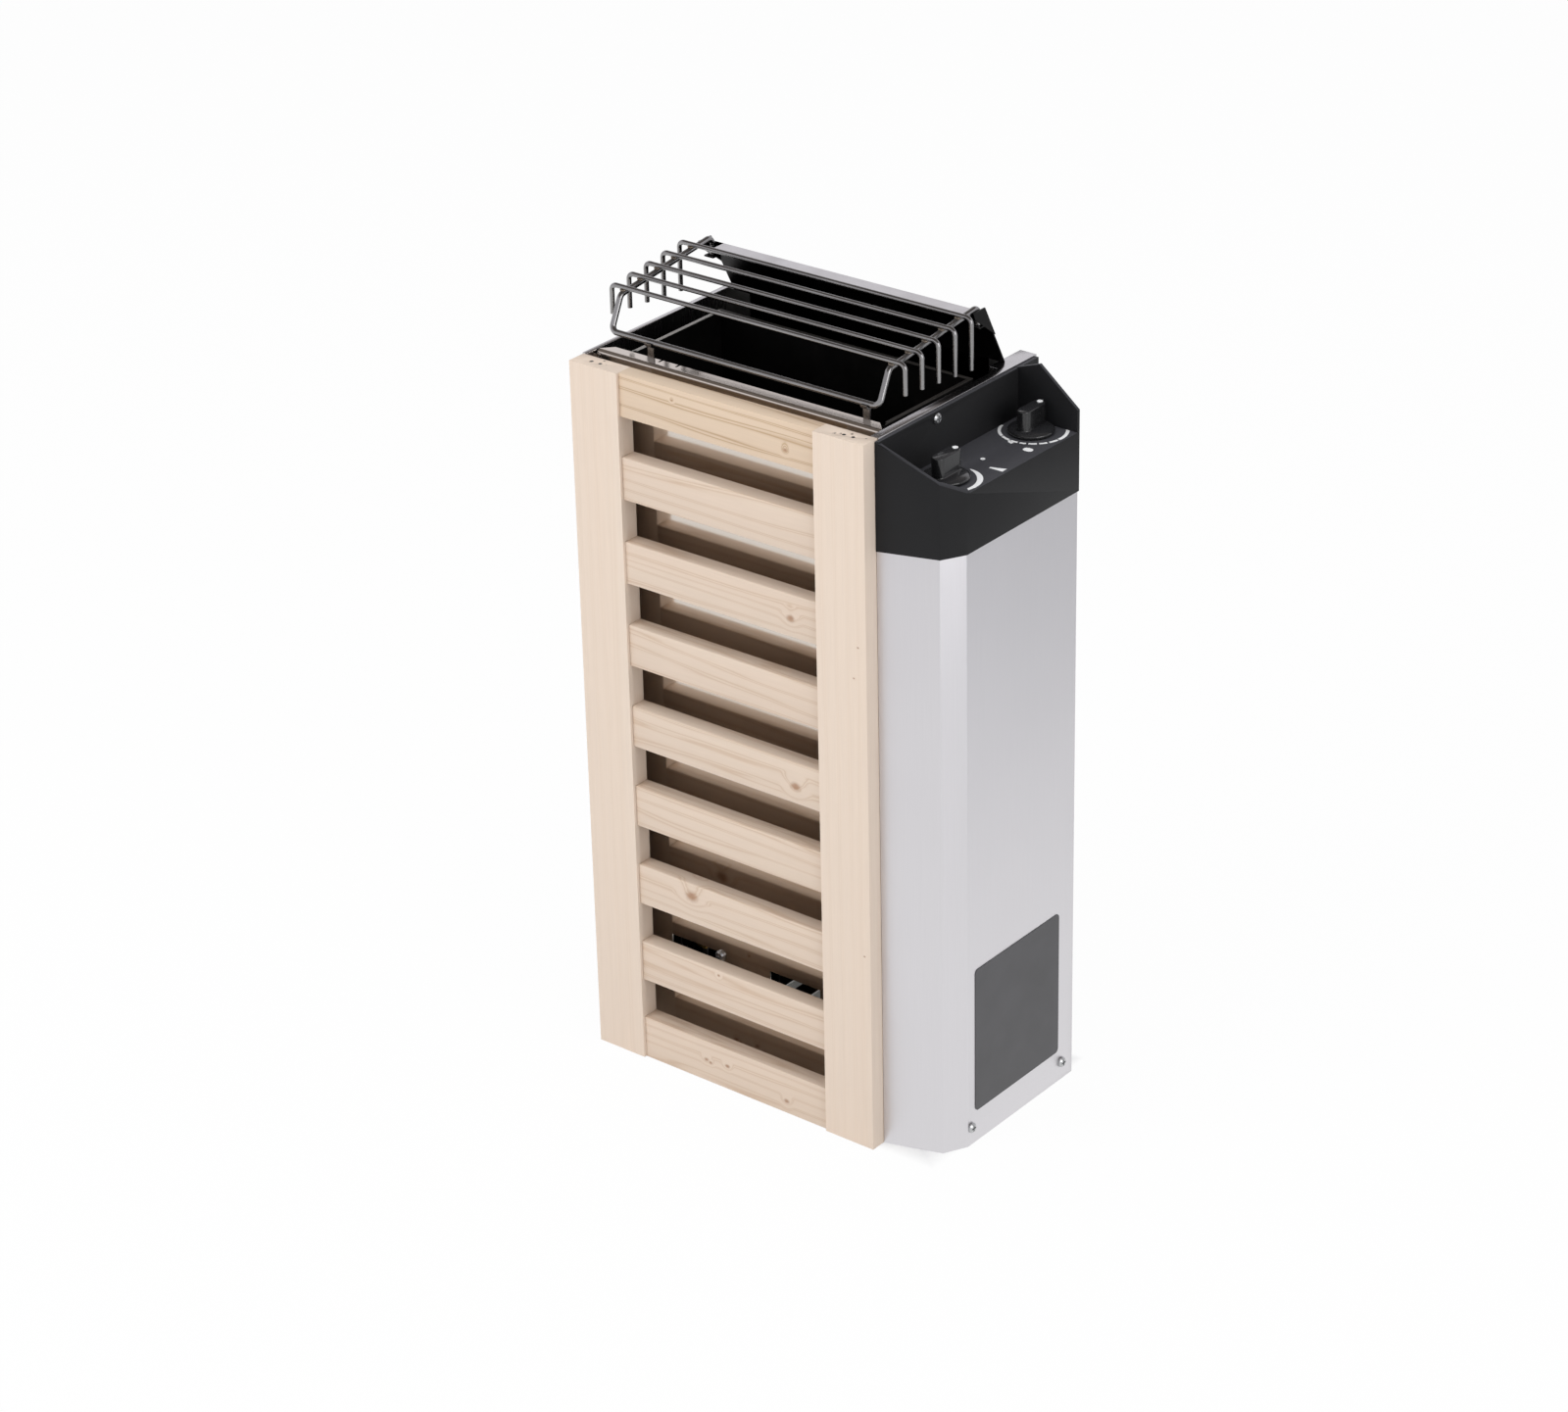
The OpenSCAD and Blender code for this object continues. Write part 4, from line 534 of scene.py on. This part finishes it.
# The wire guard: drawn stainless wire, 3.2 and 4 mm, bent cold and spot welded where the cross
# wires sit on the arms. Each joint keeps a small flattened weld with a straw and blue heat tint.
drawn_wire = worn_metal("drawn_stainless_wire", "#a4a3a3", "#908e8e", 0.24, 1400.0, 0.12, 0.01)
guard_names = ["guard_frame"] + ["guard_wire_%d" % (i + 1) for i in range(5)]
dress(guard_names, drawn_wire)
weld_tint, tree = new_finish("heat_tinted_weld")
spot = add(tree, "TexCoord")
ripple = add(tree, "TexNoise", {"Vector": spot.outputs["Object"], "Scale": 1500.0, "Detail": 2.0})
tints = add(tree, "ValToRGB", {"Fac": ripple.outputs["Fac"]},
            stops=[(0.3, "#6b6560"), (0.5, "#8d8070"), (0.7, "#5d6068")])
bump = add(tree, "Bump", {"Height": ripple.outputs["Fac"], "Strength": 0.3, "Distance": 0.0002})
shader = add(tree, "BsdfPrincipled", {"Base Color": tints.outputs["Color"], "Metallic": 1.0, "Roughness": 0.4,
                                      "Normal": bump.outputs[0]})
add(tree, "OutputMaterial", {"Surface": shader.outputs[0]})
arm_x = (11.5, 224.5)
wire_y = [44 + 16.9 * i for i in range(5)]
arm_top_z = [537.5 + 2 * i for i in range(5)]
weld_r, weld_wide, weld_flat, weld_sunk = 2.6, 0.95, 0.55, 1.7
for column, x in enumerate(arm_x):
    for row, (y, z) in enumerate(zip(wire_y, arm_top_z)):
        bpy.ops.object.select_all(action="DESELECT")
        bpy.ops.mesh.primitive_uv_sphere_add(segments=14, ring_count=8, radius=weld_r * mm,
                                             location=spot_at(x, y, z - weld_sunk))
        weld = bpy.context.object
        weld.name = "weld_%d_%d" % (column, row)
        bpy.ops.object.mode_set(mode="EDIT")
        bpy.ops.mesh.select_all(action="SELECT")
        bpy.ops.transform.resize(value=(weld_wide, weld_wide, weld_flat),
                                 center_override=spot_at(x, y, z - weld_sunk))
        bpy.ops.object.mode_set(mode="OBJECT")
        bpy.ops.object.transform_apply(location=True, rotation=True, scale=True)
        bpy.ops.object.shade_smooth()
        weld.data.materials.append(weld_tint)
        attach(weld, "guard")

# The guard rests in two cradles: strips of stainless sheet bent round the wire.
dress(["guard_clips"], worn_metal("folded_stainless_strip", "#9d9b9a", "#8c8987", 0.26, 1100.0))


# The control housing: one sheet of stainless folded round the corner chamfer, brushed along its
# height, with a bare dark plate stuck on and two small screws low down.
brushed, tree = new_finish("brushed_stainless_cover")
spot = add(tree, "TexCoord")
along = add(tree, "Mapping", {"Vector": spot.outputs["Object"], "Scale": (1.0, 1.0, 0.012)})
hairs = add(tree, "TexNoise", {"Vector": along.outputs[0], "Scale": 1700.0, "Detail": 3.0, "Roughness": 0.65})
smear = add(tree, "TexNoise", {"Vector": spot.outputs["Object"], "Scale": 9.0, "Detail": 2.0})
shade = add(tree, "MapRange", {"Value": hairs.outputs["Fac"], "To Min": 0.95, "To Max": 1.03})
colour = add(tree, "VectorMath", {0: tone("#d9d7da")[:3], "Scale": shade.outputs[0]}, operation="SCALE")
blur = add(tree, "Math", {0: hairs.outputs["Fac"], 1: smear.outputs["Fac"]}, operation="MULTIPLY")
rougher = add(tree, "MapRange", {"Value": blur.outputs[0], "From Min": 0.1, "From Max": 0.45,
                                 "To Min": 0.3, "To Max": 0.42})
bump = add(tree, "Bump", {"Height": hairs.outputs["Fac"], "Strength": 0.05, "Distance": 0.0001})
shader = add(tree, "BsdfPrincipled", {"Base Color": colour.outputs[0], "Metallic": 1.0,
                                      "Roughness": rougher.outputs[0], "Normal": bump.outputs[0]})
add(tree, "OutputMaterial", {"Surface": shader.outputs[0]})
stands_for(eased("housing_cover", "housing_cover_folded", 0.5, 12, 3), "housing_cover", "heater", brushed)
dress(["housing_screws"], zinc)

# The data plate: dark grey aluminium foil with nothing written on it, its corners cut round.
plate_paint, tree = new_finish("dark_grey_printed_foil")
spot = add(tree, "TexCoord")
screen = add(tree, "TexNoise", {"Vector": spot.outputs["Object"], "Scale": 2600.0, "Detail": 1.0})
worn = add(tree, "TexNoise", {"Vector": spot.outputs["Object"], "Scale": 40.0, "Detail": 3.0})
inks = add(tree, "ValToRGB", {"Fac": worn.outputs["Fac"]}, stops=[(0.3, "#333235"), (0.7, "#3c3b3f")])
rougher = add(tree, "MapRange", {"Value": screen.outputs["Fac"], "To Min": 0.36, "To Max": 0.46})
bump = add(tree, "Bump", {"Height": screen.outputs["Fac"], "Strength": 0.08, "Distance": 0.0001})
shader = add(tree, "BsdfPrincipled", {"Base Color": inks.outputs["Color"], "Roughness": rougher.outputs[0],
                                      "Normal": bump.outputs[0], "Coat Weight": 0.25, "Coat Roughness": 0.25})
add(tree, "OutputMaterial", {"Surface": shader.outputs[0]})
plate_low, plate_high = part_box("data_plate")
plate_corner, plate_steps = 3.0, 4
bpy.ops.object.select_all(action="DESELECT")
bpy.ops.mesh.primitive_cube_add(size=1, location=(Vector(plate_low) + Vector(plate_high)) / 2)
plate = bpy.context.object
plate.name = "data_plate_foil"
plate.scale = Vector(plate_high) - Vector(plate_low)
bpy.ops.object.transform_apply(location=True, rotation=True, scale=True)
bpy.ops.object.mode_set(mode="EDIT")
bpy.ops.mesh.select_mode(type="EDGE")
bpy.ops.mesh.select_all(action="DESELECT")
bpy.ops.object.mode_set(mode="OBJECT")
for edge in plate.data.edges:
    ends = [plate.data.vertices[i].co for i in edge.vertices]
    edge.select = abs(ends[0].x - ends[1].x) > 0.0001
bpy.ops.object.mode_set(mode="EDIT")
bpy.ops.mesh.bevel(offset=plate_corner * mm, segments=plate_steps)
bpy.ops.object.mode_set(mode="OBJECT")
stands_for(plate, "data_plate", "heater", plate_paint)


# The control cap: one moulding of black heat-proof plastic with a fine spark texture that closes
# the housing: side walls, a sunk knob panel and two rising cheeks, all with soft outer edges.
# The tone given to the faces that point up is painted light, paler as if lit from above.
def moulded(name, code, edge, rough, texture_mm=0.35, depth_mm=0.03, coat=0.0, painted_top_light=None, gleam=0.5):
    material, tree = new_finish(name)
    spot = add(tree, "TexCoord")
    sparks = add(tree, "TexNoise", {"Vector": spot.outputs["Object"], "Scale": 1 / (texture_mm * mm),
                                    "Detail": 2.0})
    cloud = add(tree, "TexNoise", {"Vector": spot.outputs["Object"], "Scale": 18.0, "Detail": 2.0})
    colour = add(tree, "Mix", {"Factor": cloud.outputs["Fac"], "A": tone(code), "B": tone(edge)},
                 data_type="RGBA")
    # Painted light: faces that point up are blended toward a paler tone, as if lit from above.
    if painted_top_light:
        facing = add(tree, "NewGeometry")
        turned = add(tree, "SeparateXYZ", {"Vector": facing.outputs["Normal"]})
        painted_top_mask = add(tree, "MapRange", {"Value": turned.outputs["Z"], "From Min": 0.3, "From Max": 1.0})
        colour = add(tree, "Mix", {"Factor": painted_top_mask.outputs[0], "A": colour.outputs["Result"],
                                   "B": tone(painted_top_light)}, data_type="RGBA")
    rougher = add(tree, "MapRange", {"Value": sparks.outputs["Fac"], "To Min": rough - 0.06,
                                     "To Max": rough + 0.08})
    bump = add(tree, "Bump", {"Height": sparks.outputs["Fac"], "Strength": 0.18, "Distance": depth_mm * mm})
    shader = add(tree, "BsdfPrincipled", {"Base Color": colour.outputs["Result"],
                                          "Roughness": rougher.outputs[0], "Normal": bump.outputs[0],
                                          "IOR": 1.5, "Coat Weight": coat, "Specular IOR Level": gleam})
    add(tree, "OutputMaterial", {"Surface": shader.outputs[0]})
    return material


# Glass-filled nylon: spark-textured in the mould, a charcoal black with a low even sheen. Its faces
# that point up are painted greyer, which is painted light from above.
cap_plastic = moulded("textured_black_nylon", "#161617", "#1a1a1c", 0.5, painted_top_light="#46464a", gleam=0.22)
stands_for(eased("control_cap", "control_cap_moulded", 0.6, 30, 3), "control_cap", "heater", cap_plastic)


# The knobs: glossy black mouldings, a domed skirt with a raised grip bar and a white dot of paint
# at the end that points to the dial.
# Their faces that point up are painted a little paler, as painted light from above.
knob_plastic = moulded("glossy_black_phenolic", "#121213", "#19191a", 0.24, 0.6, 0.006, 0.7,
                       painted_top_light="#29292b", gleam=0.35)
white_paint = moulded("white_pad_printed_ink", "#f3f3f3", "#ffffff", 0.45, 0.4, 0.01)
knobs = {
    "thermostat_knob": ("thermostat_dial", (259.75, 140.0)),
    "timer_knob": ("timer_dial", (259.75, 51.0)),
}
knob_top, dot_r, dot_h, dot_out, dot_sunk, dot_ease = 483.8, 1.9, 0.5, 9.4, 0.1, 0.2
for node, (body, (x, y)) in knobs.items():
    stands_for(eased(node, node + "_moulded", 0.7, 34, 3), node, body, knob_plastic)
    bpy.ops.object.select_all(action="DESELECT")
    bpy.ops.mesh.primitive_cylinder_add(vertices=28, radius=dot_r * mm, depth=dot_h * mm,
                                        location=spot_at(x, y + dot_out, knob_top + dot_h / 2 - dot_sunk))
    dot = bpy.context.object
    dot.name = node + "_dot"
    bpy.ops.object.mode_set(mode="EDIT")
    bpy.ops.mesh.select_all(action="SELECT")
    bpy.ops.mesh.bevel(offset=dot_ease * mm, segments=2)
    bpy.ops.object.mode_set(mode="OBJECT")
    bpy.ops.object.transform_apply(location=True, rotation=True, scale=True)
    bpy.ops.object.shade_smooth_by_angle(angle=smooth_angle)
    dot.data.materials.append(white_paint)
    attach(dot, body)


# The dials: white marks pad-printed on the knob panel, a ring of strokes for the heat, a widening
# wedge for the hours, and four small plain marks between the knobs.
panel_top, ink_t, ink_sunk = 466.5, 0.12, 0.04


# Prints a flat band between an inner and an outer line of points, both in mm on the panel.
def printed_band(name, inner, outer):
    bpy.ops.object.select_all(action="DESELECT")
    bpy.ops.mesh.primitive_plane_add(size=mm, location=(0, 0, 0))
    band = bpy.context.object
    band.name = name
    bpy.ops.object.mode_set(mode="EDIT")
    bpy.ops.mesh.select_all(action="SELECT")
    bpy.ops.mesh.delete(type="VERT")
    bpy.ops.object.mode_set(mode="OBJECT")
    points = [tuple(spot_at(x, y, panel_top - ink_sunk)) for x, y in inner + outer[::-1]]
    count = len(inner)
    faces = [(i, 2 * count - 1 - i, 2 * count - 2 - i, i + 1) for i in range(count - 1)]
    band.data.from_pydata(points, [], faces)
    band.data.update()
    only(band)
    bpy.ops.object.mode_set(mode="EDIT")
    bpy.ops.mesh.select_all(action="SELECT")
    bpy.ops.mesh.extrude_region_move(TRANSFORM_OT_translate={"value": (0, 0, ink_t * mm)})
    bpy.ops.mesh.select_all(action="SELECT")
    bpy.ops.mesh.normals_make_consistent(inside=False)
    bpy.ops.object.mode_set(mode="OBJECT")
    band.data.materials.append(white_paint)
    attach(band, "heater")


# Points on an arc round x, y in mm, from a start to an end angle in degrees.
def arc(x, y, radius, start, end, steps):
    turns = [math.radians(start + (end - start) * i / steps) for i in range(steps + 1)]
    return [(x + radius * math.cos(t), y + radius * math.sin(t)) for t in turns]


# The heat ring: each stroke's start and end in degrees and its width in mm.
ring_x, ring_y, ring_r = 259.8, 142.5, 21.4
ring_dashes = [(192, 239, 2.0), (242, 260, 1.9), (264, 278, 1.8), (282, 293, 1.7), (297, 311, 1.8),
               (315, 329, 1.8), (333, 350, 1.9), (353, 424, 2.3)]
for index, (start, end, width) in enumerate(ring_dashes):
    steps = max(3, (end - start) // 4)
    printed_band("heat_mark_%d" % (index + 1), arc(ring_x, ring_y, ring_r - width / 2, start, end, steps),
                 arc(ring_x, ring_y, ring_r + width / 2, start, end, steps))
# The hours wedge: a crescent that swells from thin to wide and closes again.
wedge_x, wedge_y, wedge_r, wedge_steps = 260.4, 50.7, 20.4, 32
wedge_from, wedge_to, wedge_thin, wedge_wide = 282, 442, 0.6, 3.7
inner, outer = [], []
for step in range(wedge_steps + 1):
    share = step / wedge_steps
    turn = math.radians(wedge_from + (wedge_to - wedge_from) * share)
    swell = wedge_thin + (wedge_wide - wedge_thin) * math.sin(math.pi * share ** 2.0) ** 0.8
    for line, radius in ((inner, wedge_r - swell / 2), (outer, wedge_r + swell / 2)):
        line.append((wedge_x + radius * math.cos(turn), wedge_y + radius * math.sin(turn)))
printed_band("hours_wedge", inner, outer)
# The four plain marks: an oval, two short strokes and a small ring.
lamp_x, lamp_y = 272.0, 115.8
oval = [(-0.6, 0.9), (0.2, 2.0), (1.6, 2.5), (3.8, 2.5), (5.2, 2.0), (6.0, 0.9)]
printed_band("lamp_mark", [(lamp_x + u, lamp_y - v) for u, v in oval],
             [(lamp_x + u, lamp_y + v) for u, v in oval])
printed_band("heat_sign", [(256.2, 120.0), (258.0, 118.2), (260.4, 117.4)],
             [(257.2, 121.8), (259.0, 120.2), (261.2, 119.4)])
printed_band("hours_sign", [(271.4, 79.2), (276.0, 79.2), (281.4, 79.2)],
             [(271.4, 80.7), (276.0, 82.0), (281.4, 84.2)])
printed_band("ring_sign", arc(260.3, 88.1, 0.3, 0, 360, 14), arc(260.3, 88.1, 1.6, 0, 360, 14))

# The parts under the cap: two switch bodies and a limiter of ivory ceramic-filled plastic, turned
# steel spindles, copper feelers, silicone wires, rubber grommets and a black nylon gland.
dress(["thermostat_body", "timer_body", "limiter_body", "terminal_block"],
      moulded("ivory_heat_proof_plastic", "#d9d1ba", "#e3dcc8", 0.5, 0.5, 0.02))
dress(["thermostat_spindle", "timer_spindle"],
      worn_metal("turned_steel_spindle", "#b9babb", "#a5a6a6", 0.26, 1500.0))
dress(["thermostat_sensor", "limiter_sensor"],
      worn_metal("drawn_copper_tube", "#b9714f", "#96563a", 0.3, 1200.0))
dress(["reset_button"], moulded("red_moulded_button", "#a91815", "#b8231e", 0.32, 0.5, 0.01))
dress(["power_wires"], moulded("silicone_wire_sleeve", "#6d3623", "#7c4029", 0.5, 0.8, 0.04))
dress(["partition_grommets"], moulded("black_rubber_grommet", "#141414", "#1c1c1c", 0.7, 0.5, 0.03))
dress(["cable_gland", "gland_nut"], moulded("black_nylon_gland", "#222224", "#2a2a2c", 0.4, 0.4, 0.02))


# The wall fixings: a pressed bracket for the wall and two back rails of galvanised strip.
stands_for(eased("wall_bracket", "wall_bracket_pressed", 0.3, 40), "wall_bracket", "heater", galvanised)
stands_for(eased("back_rails", "back_rails_folded", 0.3, 40), "back_rails", "heater", galvanised)
